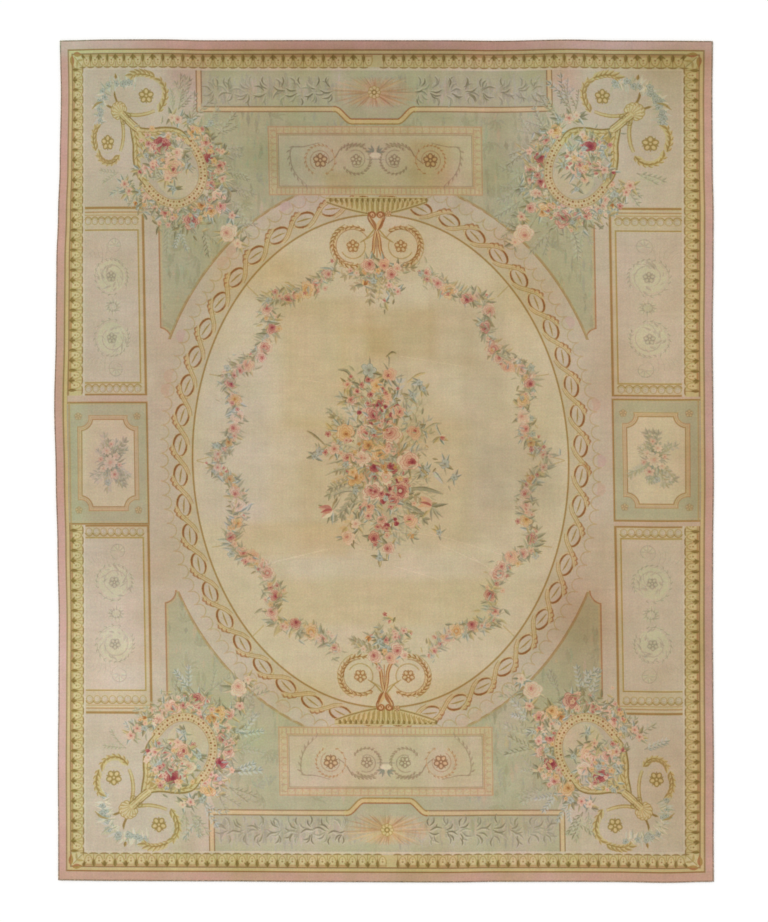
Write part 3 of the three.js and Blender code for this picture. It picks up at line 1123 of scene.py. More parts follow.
def fan(loom):
    """A half palmette: tongues spread from a dark toothed edge down to a bowl-shaped rim."""
    rim = [(x, fan_rim(x)) for x in np.linspace(-262, 262, 41)]
    for x, y in rim:
        loom.stroke([(x, y), (x, FAN_TOP)], 16, mix("straw", "gold", 0.6))
    tongue, groove = mix("straw", "gold", 0.3), mix("olive", "bronze", 0.4)
    for k in range(-FAN_TONGUES, FAN_TONGUES + 1):
        x = k * TONGUE_PITCH
        foot, tooth_x = fan_rim(x), x + 14
        loom.leaf(x * 0.92, foot + 4, 90 - k * 2.2, FAN_TOP - foot - 8, 26, tongue, "bronze", 0.9)
        loom.stroke([(tooth_x, FAN_TOP - 6), (tooth_x * 0.9, foot + 14)], 5, groove, 0.8)
        loom.leaf(tooth_x, FAN_TOP + 2, -90, 26, 16, "olive", "moss", 0.8)
    loom.stroke([(-FAN_HALF_WIDTH, FAN_TOP), (FAN_HALF_WIDTH, FAN_TOP)], 9, "olive", 0.85, 0.3, 0.3)
    loom.stroke(rim, 8, "olive", 0.85)


def crown_stem(loom):
    """One half of the heart-shaped acanthus and of the drop of leaves below it."""
    loom.disc(22, 1316, 21, "rust", 19)
    loom.disc(22, 1316, 14, "peach", 12)
    loom.stroke(spiral(24, 1316, 17, 5, 200, -200, 14), 5, "rust_deep", 0.9)
    loom.leaf(4, 1232, 66, 84, 32, "tan", "rust", 0.95)
    loom.stroke(curve([(2, 1226), (24, 1262), (44, 1296), (40, 1330)], 5), 7, "rust_deep", 0.85, 0.5, 0.6)
    loom.stroke(curve([(3, 1225), (30, 1200), (58, 1186)], 4), 5, "bronze", 0.7)
    drop = curve([(4, 1226), (14, 1180), (18, 1130), (34, 1086), (52, 1070)], 5)
    loom.stroke(drop, 17, "tan", 1, 0.5, 0.5)
    loom.stroke(beside(drop, 6), 7, "rust", 0.95, 0.5, 0.5)
    loom.stroke(beside(drop, -7), 5, "rust_deep", 0.75, 0.5, 0.4)


# The crown's scroll: its middle, and its leafy arcs by radius, start, end, width, lobes and side.
CROWN_SCROLL = (128, 1148)
CROWN_ARCS = (
    (104, 128, 62, 12, 4, -1), (106, 66, -6, 14, 6, 1), (104, 6, -58, 14, 5, -1), (103, -50, -112, 13, 4, 1),
)


def crown_scroll(loom):
    """A leafy ring about a rosette, in short overlapping leaves of tan and rust."""
    x, y = CROWN_SCROLL
    light, dark = mix("tan", "cream", 0.3), mix("rust", "moss", 0.4)
    loom.stroke(arc(x, y, 103, 118, -100, 30), 20, light, 0.9, 0.5, 0.5)
    for radius, start, end, width, lobes, side in CROWN_ARCS:
        acanthus(loom, arc(x, y, radius, start, end, 10), width, light, dark, lobes, side)
    loom.stroke(arc(x, y, 122, 70, -70, 14), 5, mix("bronze", "cream", 0.1), 0.7)
    loom.stroke(arc(x, y, 90, 150, -90, 24), 4.5, dark, 0.6)
    loom.stroke(arc(x, y, 66, 150, 330, 18), 6, mix("bronze", "cream", 0.1), 0.75)
    loom.stroke(curve([(14, 1236), (52, 1192), (88, 1168)], 5), 8, "bronze", 0.9, 1, 0.5)
    rosette(loom, x, y, 34, mix("straw", "cream", 0.4), mix("rust", "brown", 0.6))


# The bunch under the crown: its flowers by form, place and radius, and the headings and yarns of its sprays.
CROWN_FLOWERS = (
    ("rose-pink", -46, 1044, 40), ("rose-peach", 36, 1052, 32), ("rose-pink", 72, 1004, 36),
    ("bloom-blue", 12, 1000, 20), ("bud-amber", -72, 938, 20), ("bloom-lemon", 4, 1016, 17),
    ("bloom-pink", 108, 906, 20), ("bud-pink", 40, 850, 15), ("rose-blush", 108, 1034, 22),
    ("bloom-blue", -20, 962, 18), ("bloom-pink", 62, 940, 19), ("bloom-blush", -110, 1004, 18),
)
CROWN_SPRAYS = (190, 204, 218, 230, 242, 252, 262, 274, 284, 296, 308, 322, 338, 352)
CROWN_YARNS = (("leaf_olive", "leaf"), ("straw", "leaf"), ("leaf_olive", "leaf_deep"), ("mist", "leaf"))


def crown_flowers(loom, chance):
    """The bunch under the scrolls, with long sprays that hang from it."""
    for angle in CROWN_SPRAYS:
        yarns = chance.choice(CROWN_YARNS)
        sprig(loom, 6, 1040, angle, chance.uniform(110, 215), chance, 6, yarns, chance.uniform(0.45, 0.7))
    places = [(x, y) for _, x, y, _ in CROWN_FLOWERS]
    scatter(loom, places, 26, chance, 40, 14)
    for kind, x, y, radius in CROWN_FLOWERS:
        nest(loom, x, y, radius, 3, chance)
    for kind, x, y, radius in CROWN_FLOWERS:
        flower(loom, kind, x, y, radius, chance)


# One quarter of the garland inside the oval: its path, the larger flowers on it by form, place and radius,
# how far they fade into the ground, and the thin ties to the oval's line.
GARLAND_PATH = ((236, 1020), (352, 930), (465, 888), (584, 864), (588, 790), (572, 706), (626, 612),
                (706, 520), (782, 484), (814, 416), (770, 318), (770, 210), (800, 108), (884, 28))
GARLAND_FLOWERS = (
    ("rose-pink", 262, 1004, 22), ("rose-pink", 334, 948, 25), ("wreath-lemon", 382, 908, 37),
    ("rose-red", 470, 872, 26), ("bloom-pink", 532, 880, 18), ("rose-pink", 590, 810, 29),
    ("rose-red", 572, 712, 27), ("wreath-pink", 612, 604, 38), ("rose-pink", 632, 556, 24),
    ("rose-peach", 694, 512, 34), ("rose-pink", 752, 488, 28), ("bloom-blue", 812, 500, 17),
    ("rose-red", 802, 416, 24), ("rose-lemon", 770, 324, 28), ("rose-blush", 764, 236, 33),
    ("rose-pink", 776, 170, 28), ("bloom-amber", 806, 96, 22), ("bloom-pink", 872, 34, 19),
)
GARLAND_FADE = 0.26
TIES = (((905, 462), (838, 452)), ((980, 2), (884, 28)), ((700, 940), (640, 880)))


def garlands(loom):
    """Leaves and small flowers along the path, then its larger flowers."""
    path = curve(GARLAND_PATH, 6)
    for number in loom.quarters():
        chance = random.Random(41 + number)
        for start, end in TIES:
            loom.stroke([start, end], 4.5, mix("bronze", "cream", 0.3), 0.8)
        loom.stroke(path, 4.5, "leaf", 0.6)
        loom.fade = GARLAND_FADE
        for x, y, heading in along_line(path, 15):
            for side in (-1, 1):
                angle = heading + side * chance.uniform(25, 85)
                reach = chance.uniform(38, 78)
                yarn, shade = chance.choice(LEAF_PAIRS)
                loom.leaf(x, y, angle, reach, reach * 0.3, yarn, shade, chance.uniform(0.6, 1.0))
        places = [(x, y) for x, y, _ in along_line(path, 40)]
        scatter(loom, places, 19, chance, 110, 56)
        for kind, x, y, radius in GARLAND_FLOWERS:
            dx, dy = chance.uniform(-6, 6), chance.uniform(-6, 6)
            flower(loom, kind, x + dx, y + dy, radius * chance.uniform(1.1, 1.28), chance)
        scatter(loom, places, 27, chance, 90, 12)
        loom.fade = 0.0


# The bunch in the middle: how far it fades, the sprays at its rim and the turn between them, its flowers by
# form, place and radius, the long blades by their two ends and width, and the small flowers of its core.
BOUQUET_FADE = 0.02
BOUQUET_SPRAYS = 44
SPRAY_TURN = 8.2
BOUQUET = (
    ("bloom-blue", -54, 486, 38), ("rose-peach", 57, 461, 36), ("bloom-pink", -170, 408, 24),
    ("bloom-pink", -117, 372, 22), ("rose-pink", -148, 322, 26), ("bloom-lemon", -14, 403, 34),
    ("bloom-peach", 44, 341, 25), ("rose-dark", -5, 305, 19), ("rose-red", -36, 252, 40),
    ("rose-peach", 97, 262, 36), ("bloom-blue", 214, 420, 17), ("bloom-blue", 176, 352, 16),
    ("bloom-blue", 236, 386, 15), ("rose-lemon", -188, 154, 45), ("rose-pink", -77, 158, 41),
    ("rose-pink", 61, 145, 54), ("rose-peach", 182, 154, 36), ("bud-amber", -23, 199, 15),
    ("bud-pink", 320, 132, 20), ("bloom-amber", -63, 83, 32), ("rose-red", 48, 78, 20),
    ("bloom-pink", -246, 65, 31), ("rose-lemon", -5, 47, 41), ("rose-pink", -170, 12, 36),
    ("rose-blush", -94, 12, 40), ("rose-pink", 146, 3, 54), ("bloom-blue", -326, 50, 22),
    ("bloom-blue", -352, 24, 16), ("rose-dark", -32, -37, 24), ("rose-dark", 66, -46, 21),
    ("wreath-blush", 26, -86, 38), ("bloom-amber", -139, -88, 43), ("bloom-lemon", -150, -60, 26),
    ("bloom-blue", 235, -55, 26), ("bloom-blue", 342, -15, 26), ("bloom-blue", 391, -86, 18),
    ("wreath-pink", -45, -162, 54), ("wreath-red", 102, -158, 49), ("rose-red", 66, -212, 27),
    ("rose-peach", -72, -251, 36), ("bud-pink", -262, -262, 44), ("bud-peach", 268, -240, 46),
    ("rose-peach", 155, -318, 36), ("rose-pink", 4, -318, 28), ("bloom-blush", -139, -335, 26),
    ("rose-blush", -179, -411, 36), ("rose-red", -41, -407, 31), ("rose-pink", 35, -465, 31),
    ("bloom-amber", 155, -398, 17), ("bloom-blue", 306, -380, 17), ("bloom-blue", -14, -518, 18),
)
BLADES = (
    (-120, -10, -290, -16, 12), (-120, -40, -300, -76, 12), (-100, -160, -272, -184, 22),
    (-110, -140, -190, -150, 14), (140, -150, 330, -176, 24), (150, -130, 250, -40, 16),
    (282, -60, 330, -122, 26), (100, -220, 236, -290, 18), (-110, -210, -176, -300, 14),
    (-90, -230, -150, -330, 20), (-30, -290, -20, -350, 22), (90, 20, 150, 90, 20),
    (-30, 330, -80, 260, 24), (60, 300, 20, 200, 16), (54, 500, 40, 570, 8), (40, 556, 96, 574, 10),
    (150, 420, 250, 470, 14), (230, 160, 330, 200, 14), (300, 200, 330, 120, 12),
    (-250, 220, -200, 160, 20), (-290, 200, -230, 130, 18), (120, 360, 200, 300, 20),
    (-390, 160, -290, 80, 12), (-140, 440, -220, 490, 16), (70, 60, 60, -20, 18),
)
CORE_KINDS = (
    "bloom-red", "rose-dark", "bloom-pink", "bloom-amber", "rose-red", "bloom-peach", "rose-pink",
)


def bouquet(loom):
    """The large bunch: sprays at its rim, long blades, leaves, and then its flowers."""
    chance = random.Random(53)
    loom.fade = BOUQUET_FADE
    for k in range(BOUQUET_SPRAYS):
        angle = SPRAY_TURN * k
        reach = 215 + 260 * abs(math.sin(math.radians(angle))) ** 1.4
        x, y = polar(0, 8, angle, reach * 0.5)
        sprig(loom, x, y, angle, reach * 0.5, chance, 5, None, chance.uniform(0.4, 0.7))
    loom.disc(-6, -20, 320, mix("leaf_olive", "cream", 0.35), 130, 90, 0.5)
    loom.disc(0, 60, 240, mix("rust", "leaf_olive", 0.5), 105, 90, 0.5)
    places = [(x, y) for _, x, y, _ in BOUQUET if math.hypot(x, y * 0.7) < 290]
    core = [(x, y) for x, y in places if abs(x) < 130 and y > -360]
    scatter(loom, places, 34, chance, 200, 60)
    for x0, y0, x1, y1, width in BLADES:
        middle = ((x0 + x1) / 2 + (y1 - y0) * 0.14, (y0 + y1) / 2 + 16)
        yarn, shade = chance.choice(LEAF_PAIRS)
        blade = curve([(x0, y0), middle, (x1, y1)], 8)
        loom.stroke(blade, width, yarn, 0.8, 0.3, 0.15)
        loom.stroke(beside(blade, width * 0.3), 5, shade, 0.9, 0.3, 0.15)
    for kind, x, y, radius in BOUQUET:
        nest(loom, x, y, radius, 5, chance)
    scatter(loom, core, 34, chance, 30, 80, CORE_KINDS)
    for kind, x, y, radius in BOUQUET:
        flower(loom, kind, x, y, radius * 1.08, chance)
    scatter(loom, core, 44, chance, 60, 34, CORE_KINDS)
    scatter(loom, places, 62, chance, 150, 18)
    loom.fade = 0.0


# The corner ornament, measured from its shell: towards the rug's middle line, and down towards its middle.
CORNER_FADE = 0.05
SHELL = (1376.0, 1868.0)
UPPER_ARM = ((30, 10), (60, 20), (109, 24), (162, 15), (200, 2))
UPPER_SIDE = ((225, 3), (251, -40), (263, -98), (244, -150), (211, -174))
UPPER_TOP = ((204, -178), (149, -194), (100, -192), (70, -172))
SIDE_ARM = ((16, 40), (22, 69), (26, 122), (20, 175), (7, 215))
SIDE_LOW = ((-2, 240), (-22, 266), (-60, 282), (-109, 269), (-140, 229))
SIDE_OUT = ((-150, 210), (-163, 165), (-160, 115), (-138, 74))
SIDE_HORN = ((-105, -47), (-140, -38), (-171, -10))
SHIELD_TOP = ((100, 86), (130, 98), (180, 101), (250, 94), (310, 98), (352, 118), (386, 165))
SHIELD_SIDE = ((72, 96), (78, 130), (87, 185), (86, 245), (94, 305), (112, 355), (146, 398))
BEADS = ((386, 165), (415, 205), (440, 255), (453, 310), (452, 365), (430, 420), (390, 465),
         (340, 492), (290, 496), (240, 482), (195, 450), (150, 400))
SHIELD_BODY = SHIELD_TOP[:6] + BEADS + SHIELD_SIDE[::-1]
SHIELD_MIDDLE = (270, 290)
SHIELD_FOOT = (104, 100)
SHIELD_FLOWERS_AT = ((235, 235), (290, 290), (200, 300), (300, 210), (180, 190))
ROSETTES_AT = ((158, -79), (-73, 171))
HORNS = (((-10, -44), (-24, -78), (-26, -104)), ((-40, -12), (-60, -22), (-80, -28)))
STEM = ((18, 18), (48, 46), (76, 72), (106, 96))
PALE_GARLAND = ((100, -150), (33, -150), (-47, -136), (-100, -83), (-127, 10), (-120, 60))


def corner_point(inward, down):
    return SHELL[0] - inward, SHELL[1] - down


def corner_curve(points, steps=6):
    return curve([corner_point(*p) for p in points], steps)


def corners(loom):
    """Each corner's ornament between its outer and its inner flowers."""
    for number in loom.quarters():
        chance = random.Random(61 + number)
        outer_flowers(loom, chance)
        shield(loom)
        corner_scrolls(loom)
        shell(loom)
        loom.fade = CORNER_FADE
        places = [corner_point(*place) for place in SHIELD_FLOWERS_AT]
        scatter(loom, places, 32, chance, 110, 44)
        corner_group(loom, INNER_FLOWERS, 7, chance)
        scatter(loom, places, 44, chance, 60, 16)
        loom.fade = 0.0


def shield(loom):
    """Two leafy gold arms that open from the stem into a ring of beads, round a pale ground."""
    body = mix("green", "panel", 0.4)
    outline = corner_curve(SHIELD_BODY, 4)
    middle = np.array(corner_point(*SHIELD_MIDDLE))
    for share in (0.9, 0.7, 0.5, 0.3, 0.1):
        loom.stroke(middle + (outline - middle) * share, 48, body)
    disc_x, disc_y = corner_point(318, 356)
    loom.disc(disc_x, disc_y, 108, mix("stone", "panel", 0.2), strength=0.7)
    for k in range(-4, 5):
        x = disc_x + k * 17
        loom.stroke([(x, disc_y - 70), (x + 5, disc_y + 30)], 5, mix("tan", "panel", 0.3), 0.45)
    foot = corner_point(*SHIELD_FOOT)
    for k in (-2, -1, 0, 1, 2):
        loom.leaf(*foot, 225 + k * 15, 178 - 26 * abs(k), 30, mix("straw", "gold", 0.5), "bronze", 0.95)
    bead_ring(loom)
    light, dark = mix("straw", "gold", 0.3), mix("bronze", "olive", 0.3)
    for arm, side in ((SHIELD_TOP, 1), (SHIELD_SIDE, -1)):
        points = corner_curve(arm)
        loom.stroke(beside(points, side * 12), 34, mix("straw", "gold", 0.6), 1, 0.5, 0.5)
        acanthus(loom, beside(points, side * 16), 15, light, dark, 8, side)
        loom.stroke(beside(points, -side * 4), 10, "olive", 0.95, 0.7, 0.5)


def bead_ring(loom):
    """A broad pale band with brown dots in two rows, between thin lines."""
    band = corner_curve(BEADS)
    loom.stroke(band, 46, mix("straw", "cream", 0.5))
    for offset in (-21, 21):
        loom.stroke(beside(band, offset), 4.5, mix("brown", "cream", 0.3), 0.75)
    for k, (x, y, heading) in enumerate(along_line(band, 16)):
        offset = 10 if k % 2 else -10
        dot = "rust_deep" if k % 4 < 2 else "brown"
        loom.disc(*polar(x, y, heading + 90, offset), 5.5, dot, strength=0.95)
        loom.disc(*polar(x, y, heading + 90, -offset), 4, "bronze", strength=0.8)


def corner_scrolls(loom):
    """The two arms from the shell, and the leafy scrolls round their rosettes."""
    gold, dark = mix("straw", "gold", 0.5), mix("bronze", "olive", 0.15)
    for arm in (UPPER_ARM, SIDE_ARM):
        points = corner_curve(arm)
        loom.stroke(points, 17, gold, 0.9, 1, 0.5)
        loom.stroke(beside(points, 7), 6, dark, 0.9, 1, 0.5)
        loom.stroke(beside(points, -7), 5, dark, 0.7, 1, 0.5)
    leafy = ((UPPER_SIDE, 7, -1), (UPPER_TOP, 6, 1), (SIDE_LOW, 7, 1), (SIDE_OUT, 5, 1))
    for leaf_line, lobes, side in leafy:
        points = corner_curve(leaf_line)
        loom.stroke(points, 24, gold, 1, 0.5, 0.4)
        acanthus(loom, points, 20, gold, dark, lobes, side)
        loom.stroke(points[: len(points) * 2 // 3], 6, "olive", 0.75, 0.6, 0.3)
    loom.stroke(corner_curve(SIDE_HORN), 13, dark, 0.8, 0.3, 0.2)
    for place in ROSETTES_AT:
        x, y = corner_point(*place)
        loom.stroke(arc(x, y, 54, 200, 340, 12), 4.5, mix(gold, "field", 0.4), 0.6)
        rosette(loom, x, y, 40, mix("straw", "gold", 0.3), mix("olive", "bronze", 0.3))


def shell(loom):
    """A round scallop shell with two small horns, on a curled stem."""
    x, y = SHELL
    pale = mix("straw", "ivory", 0.35)
    for horn in HORNS:
        loom.stroke(corner_curve(horn), 12, "olive", 0.95, 1, 0.2)
    ribs = [45 + 30 * k for k in range(-4, 5)]
    for angle in ribs:
        lobe = polar(x, y, angle, 33)
        loom.disc(*lobe, 18, "bronze")
        loom.disc(*lobe, 14, pale)
    loom.disc(x, y, 33, pale)
    foot = corner_point(22, 22)
    for angle in ribs:
        loom.stroke([foot, polar(x, y, angle - 15, 42)], 4.5, "bronze", 0.6)
    stem = corner_curve(STEM)
    loom.stroke(stem, 40, mix("straw", "ivory", 0.25), 1, 0.6, 0.7)
    for side in (-1, 1):
        loom.stroke(beside(stem, side * 19), 6, "olive", 0.9)
        curl = corner_point(44 + side * 16, 44 - side * 16)
        loom.stroke(spiral(*curl, 17, 5, 0, side * 400, 12), 5, "olive", 0.85)
        loom.stroke(beside(stem, side * 8), 4.5, "bronze", 0.8)


# The corner's flowers by form, place and radius, and its sprays by place and heading.
INNER_FLOWERS = (
    ("rose-dark", 234, 178, 41), ("rose-blush", 323, 224, 36), ("rose-peach", 288, 305, 54),
    ("rose-pink", 198, 292, 34), ("bloom-pink", 149, 313, 27), ("bud-red", 112, 318, 17),
    ("bloom-blue", 372, 292, 20), ("bloom-blush", 270, 132, 20), ("bloom-blue", 150, 232, 18),
    ("bloom-peach", 262, 366, 24), ("bloom-blue", 300, 412, 16),
)
OUTER_FLOWERS = (
    ("rose-lemon", 416, 113, 44), ("rose-pink", 470, 156, 36), ("bloom-pink", 436, 196, 22),
    ("rose-dark", 492, 252, 34), ("rose-pink", 536, 306, 40), ("rose-red", 498, 384, 28),
    ("bloom-pink", 556, 366, 24), ("bloom-white", 461, 440, 22), ("rose-amber", 444, 500, 30),
    ("rose-lemon", 486, 530, 40), ("rose-pink", 546, 508, 34), ("bloom-blue", 420, 560, 20),
    ("rose-red", 380, 585, 48), ("rose-pink", 251, 545, 42), ("bloom-red", 300, 560, 22),
    ("rose-blush", 162, 473, 34), ("bud-amber", 105, 491, 17), ("bloom-pink", 24, 398, 27),
    ("bloom-pink", 47, 433, 25), ("bloom-pink", 196, 520, 22), ("rose-blush", 590, 650, 52),
    ("bloom-blush", 640, 700, 26), ("bloom-pink", 331, 42, 26), ("bloom-blush", 290, 30, 22),
    ("bloom-blue", 590, 420, 16), ("bloom-pink", 600, 560, 24), ("rose-blush", 526, 440, 30),
    ("bloom-blue", 390, 52, 20), ("bloom-peach", 556, 214, 18), ("bloom-blue", 96, 440, 20),
)
SPRAYS = (
    (300, -10, 95), (340, -50, 70), (380, -40, 120), (330, -10, 60), (-10, 330, 200), (60, 380, 230),
    (120, 420, 250), (560, 200, -20), (590, 330, -10), (600, 400, -30), (610, 480, -50), (620, 600, -20),
    (260, 610, -80), (330, 640, -100), (450, 640, -60), (400, 40, 60), (470, 90, 40), (540, 120, 30),
)
SPRAY_YARNS = (("blue_pale", "blue"), ("mist", "leaf_deep"), ("mist", "slate"), ("mist", "teal"))


def corner_group(loom, flowers, leaves, chance):
    """Flowers measured from the shell, each on its own nest of leaves."""
    for _, inward, down, radius in flowers:
        nest(loom, *corner_point(inward, down), radius, leaves, chance)
    for kind, inward, down, radius in flowers:
        x, y = corner_point(inward + chance.uniform(-7, 7), down + chance.uniform(-7, 7))
        flower(loom, kind, x, y, radius * chance.uniform(0.88, 1.08), chance)


def outer_flowers(loom, chance):
    """Flowers massed outside the ring of beads, with sprays, and a pale garland round the shell."""
    loom.fade = CORNER_FADE
    for inward, down, angle in SPRAYS:
        x, y = corner_point(inward, down)
        yarns = chance.choice(SPRAY_YARNS)
        for turn in (-16, 14):
            reach, strength = chance.uniform(100, 160), chance.uniform(0.6, 0.9)
            sprig(loom, x, y, 180 - angle + turn, reach, chance, 5, yarns, strength)
    middle = np.array(corner_point(*SHIELD_MIDDLE))
    path = corner_curve(BEADS, 3)
    rims = [[tuple(p) for p in middle + (path - middle) * share] for share in (1.46, 1.22)]
    scatter(loom, rims[0], 30, chance, 190, 26)
    scatter(loom, rims[1], 24, chance, 190, 66)
    corner_group(loom, OUTER_FLOWERS, 8, chance)
    scatter(loom, rims[0] + rims[1], 32, chance, 150, 26)
    loom.fade = 0.0
    pale_garland(loom, chance)


def pale_garland(loom, chance):
    """Small pale leaves and blue flowers along a line round the shell."""
    for x, y, heading in along_line(corner_curve(PALE_GARLAND), 11):
        for side in (-1, 1):
            angle = heading + side * chance.uniform(20, 110)
            yarn = chance.choice(("blue_pale", "mist", "ivory"))
            shade = chance.choice(("teal", "blue_pale", "mist"))
            loom.leaf(x, y, angle, chance.uniform(36, 62), 13, yarn, shade, 0.75)
        if chance.random() < 0.5:
            blossom(loom, x + chance.uniform(-16, 16), y + chance.uniform(-16, 16), 18, "blue", chance)
    loom.leaf(*corner_point(-16, -170), 80, 30, 14, "bronze", "olive")


def dye_streak(loom, x, y, ground, chance):
    """A short soft upright streak, a little greener or pinker than its ground."""
    yarn = mix(ground, chance.choice(("leaf", "teal", "leaf_deep", "mist", "tan", "blush")), 0.5)
    reach, lean = chance.uniform(30, 100), chance.uniform(-8, 8)
    streak = [(x, y), (x + lean / 2, y + reach / 2), (x + lean, y + reach)]
    loom.stroke(streak, chance.uniform(10, 26), yarn, chance.uniform(0.2, 0.55), 0.2, 0.2)


# How many dye streaks and faint leaves the green ground has, and how far across and along they are strewn.
GREEN_STREAKS = 2600
GREEN_LEAVES = 260
GREEN_HALF_X = 1150
STREAKS_FROM_Y = 640
LEAVES_FROM_Y = 680
GREEN_TO_Y = 1840


def green_leaves(loom, outside):
    """Upright streaks of uneven dye and faint leaves, scattered over the green ground."""
    chance = random.Random(71)
    before = loom.colour.copy()

    def green_place(from_y):
        x = chance.uniform(-GREEN_HALF_X, GREEN_HALF_X)
        return x, chance.choice((-1, 1)) * chance.uniform(from_y, GREEN_TO_Y)

    for _ in range(GREEN_STREAKS):
        dye_streak(loom, *green_place(STREAKS_FROM_Y), "green", chance)
    for _ in range(GREEN_LEAVES):
        x, y = green_place(LEAVES_FROM_Y)
        heading = chance.uniform(0, 360)
        yarn = mix("green", chance.choice(("teal", "leaf_deep", "mist", "leaf_olive")), 0.4)
        for k in range(5):
            reach = chance.uniform(44, 74)
            bent_leaf(loom, x, y, heading + (k - 2) * 34, reach, 13, 14, yarn, 0.35)
    keep = inside(-outside)[..., None]
    loom.colour = loom.colour * (1 - keep) + before * keep


# Pale streaks along the oval's creases: their ends.
STREAKS = (
    ((120, 560), (460, 505)), ((-430, 440), (-160, 392)), ((-40, -360), (300, -400)),
    ((250, -380), (640, -500)), ((300, -440), (560, -560)), ((-640, -560), (-300, -470)),
    ((60, -560), (330, -640)), ((-120, -470), (90, -500)), ((480, -510), (680, -650)),
    ((-590, -540), (-280, -470)),
)


def crease_streaks(loom):
    """Pale lines along the creases."""
    for start, end in STREAKS:
        loom.stroke([start, end], 15, "ivory", 0.42, 0.2, 0.2)
        loom.stroke([start, end], 34, "ivory", 0.2, 0.3, 0.2)


def woven_design():
    """The whole drawing, from the grounds up to the flowers."""
    loom = Loom()
    x, y = np.meshgrid(loom.x, loom.y)
    ax, ay = np.abs(x), np.abs(y)
    grounds(loom, ax, ay)
    outside = green_field(loom, ax, ay, y)
    green_leaves(loom, outside)
    oval(loom, x, y, ax)
    scallops(loom)
    border_band(loom)
    border_corners(loom)
    laurel_panels(loom, ax, ay)
    ribbon_ring(loom)
    scroll_panels(loom, ax, ay)
    side_panels(loom, ax, ay)
    middle_panels(loom, x, y, ax)
    crowns(loom)
    garlands(loom)
    corners(loom)
    bouquet(loom)
    crease_streaks(loom)
    return loom


# The pile's knots are merged into blocks of one shade, up to LONGEST_RUN knots a side.
SHADES = 32
LONGEST_RUN = 8
CODE_BASE = 64


def runs(begins):
    """Where each run starts and how long it is, given where a change begins one. Long runs are split."""
    at = np.arange(len(begins))
    start = np.maximum.accumulate(np.where(begins, at, 0))
    first = np.nonzero((at - start) % LONGEST_RUN == 0)[0]
    return first, np.diff(np.append(first, len(begins)))


def knot_blocks(code):
    """Rectangles of one shade: column, row, width and height."""
    columns = code.shape[1]
    change = np.ones(code.shape, dtype=bool)
    change[:, 1:] = code[:, 1:] != code[:, :-1]
    first, width = runs(change.ravel())
    row, column = np.divmod(first, columns)
    order = np.lexsort((row, width, column))
    row, column, width = row[order], column[order], width[order]
    shade = code[row, column]
    same = (column[1:] == column[:-1]) & (width[1:] == width[:-1]) & (shade[1:] == shade[:-1])
    first, height = runs(np.append(True, ~(same & (row[1:] == row[:-1] + 1))))
    return np.stack([column[first], row[first], width[first], height], 1)


def linear(colour):
    """From the eye's 0 to 255 to light."""
    c = np.asarray(colour) / 255
    return np.where(c <= 0.04045, c / 12.92, ((c + 0.055) / 1.055) ** 2.4)


def mesh_from(name, points, faces, smooth=True):
    """A mesh object from arrays of points and of equal-sided faces."""
    mesh = bpy.data.meshes.new(name)
    sides = faces.shape[1]
    mesh.vertices.add(len(points))
    mesh.vertices.foreach_set("co", np.ascontiguousarray(points, dtype=np.float32).ravel())
    mesh.loops.add(faces.size)
    mesh.loops.foreach_set("vertex_index", np.ascontiguousarray(faces, dtype=np.int32).ravel())
    mesh.polygons.add(len(faces))
    mesh.polygons.foreach_set("loop_start", np.arange(0, faces.size, sides, dtype=np.int32))
    mesh.update(calc_edges=True)
    mesh.validate()
    if smooth:
        mesh.shade_smooth()
    piece = bpy.data.objects.new(name, mesh)
    bpy.context.scene.collection.objects.link(piece)
    return piece


def add_colours(piece, name, domain, colours):
    """A layer of colours, one for each corner or point, or one for all."""
    layer = piece.data.color_attributes.new(name, "FLOAT_COLOR", domain)
    values = np.ones((len(layer.data), 4), dtype=np.float32)
    values[:, :3] = colours
    layer.data.foreach_set("color", values.ravel())


def add_corner_colours(piece, name, colours):
    """Sets a colour for each face, on all of its corners."""
    sides = len(piece.data.loops) // len(colours)
    add_colours(piece, name, "CORNER", np.repeat(colours, sides, axis=0))


def add_flat_uv(piece, points):
    """A map of the piece seen from above, which fills the square."""
    low, high = points[:, :2].min(0), points[:, :2].max(0)
    flat = (points[:, :2] - low) / (high - low) * 0.98 + 0.01
    corner_points = np.empty(len(piece.data.loops), dtype=np.int32)
    piece.data.loops.foreach_get("vertex_index", corner_points)
    layer = piece.data.uv_layers.new(name="OFBake")
    layer.data.foreach_set("uv", flat[corner_points].astype(np.float32).ravel())
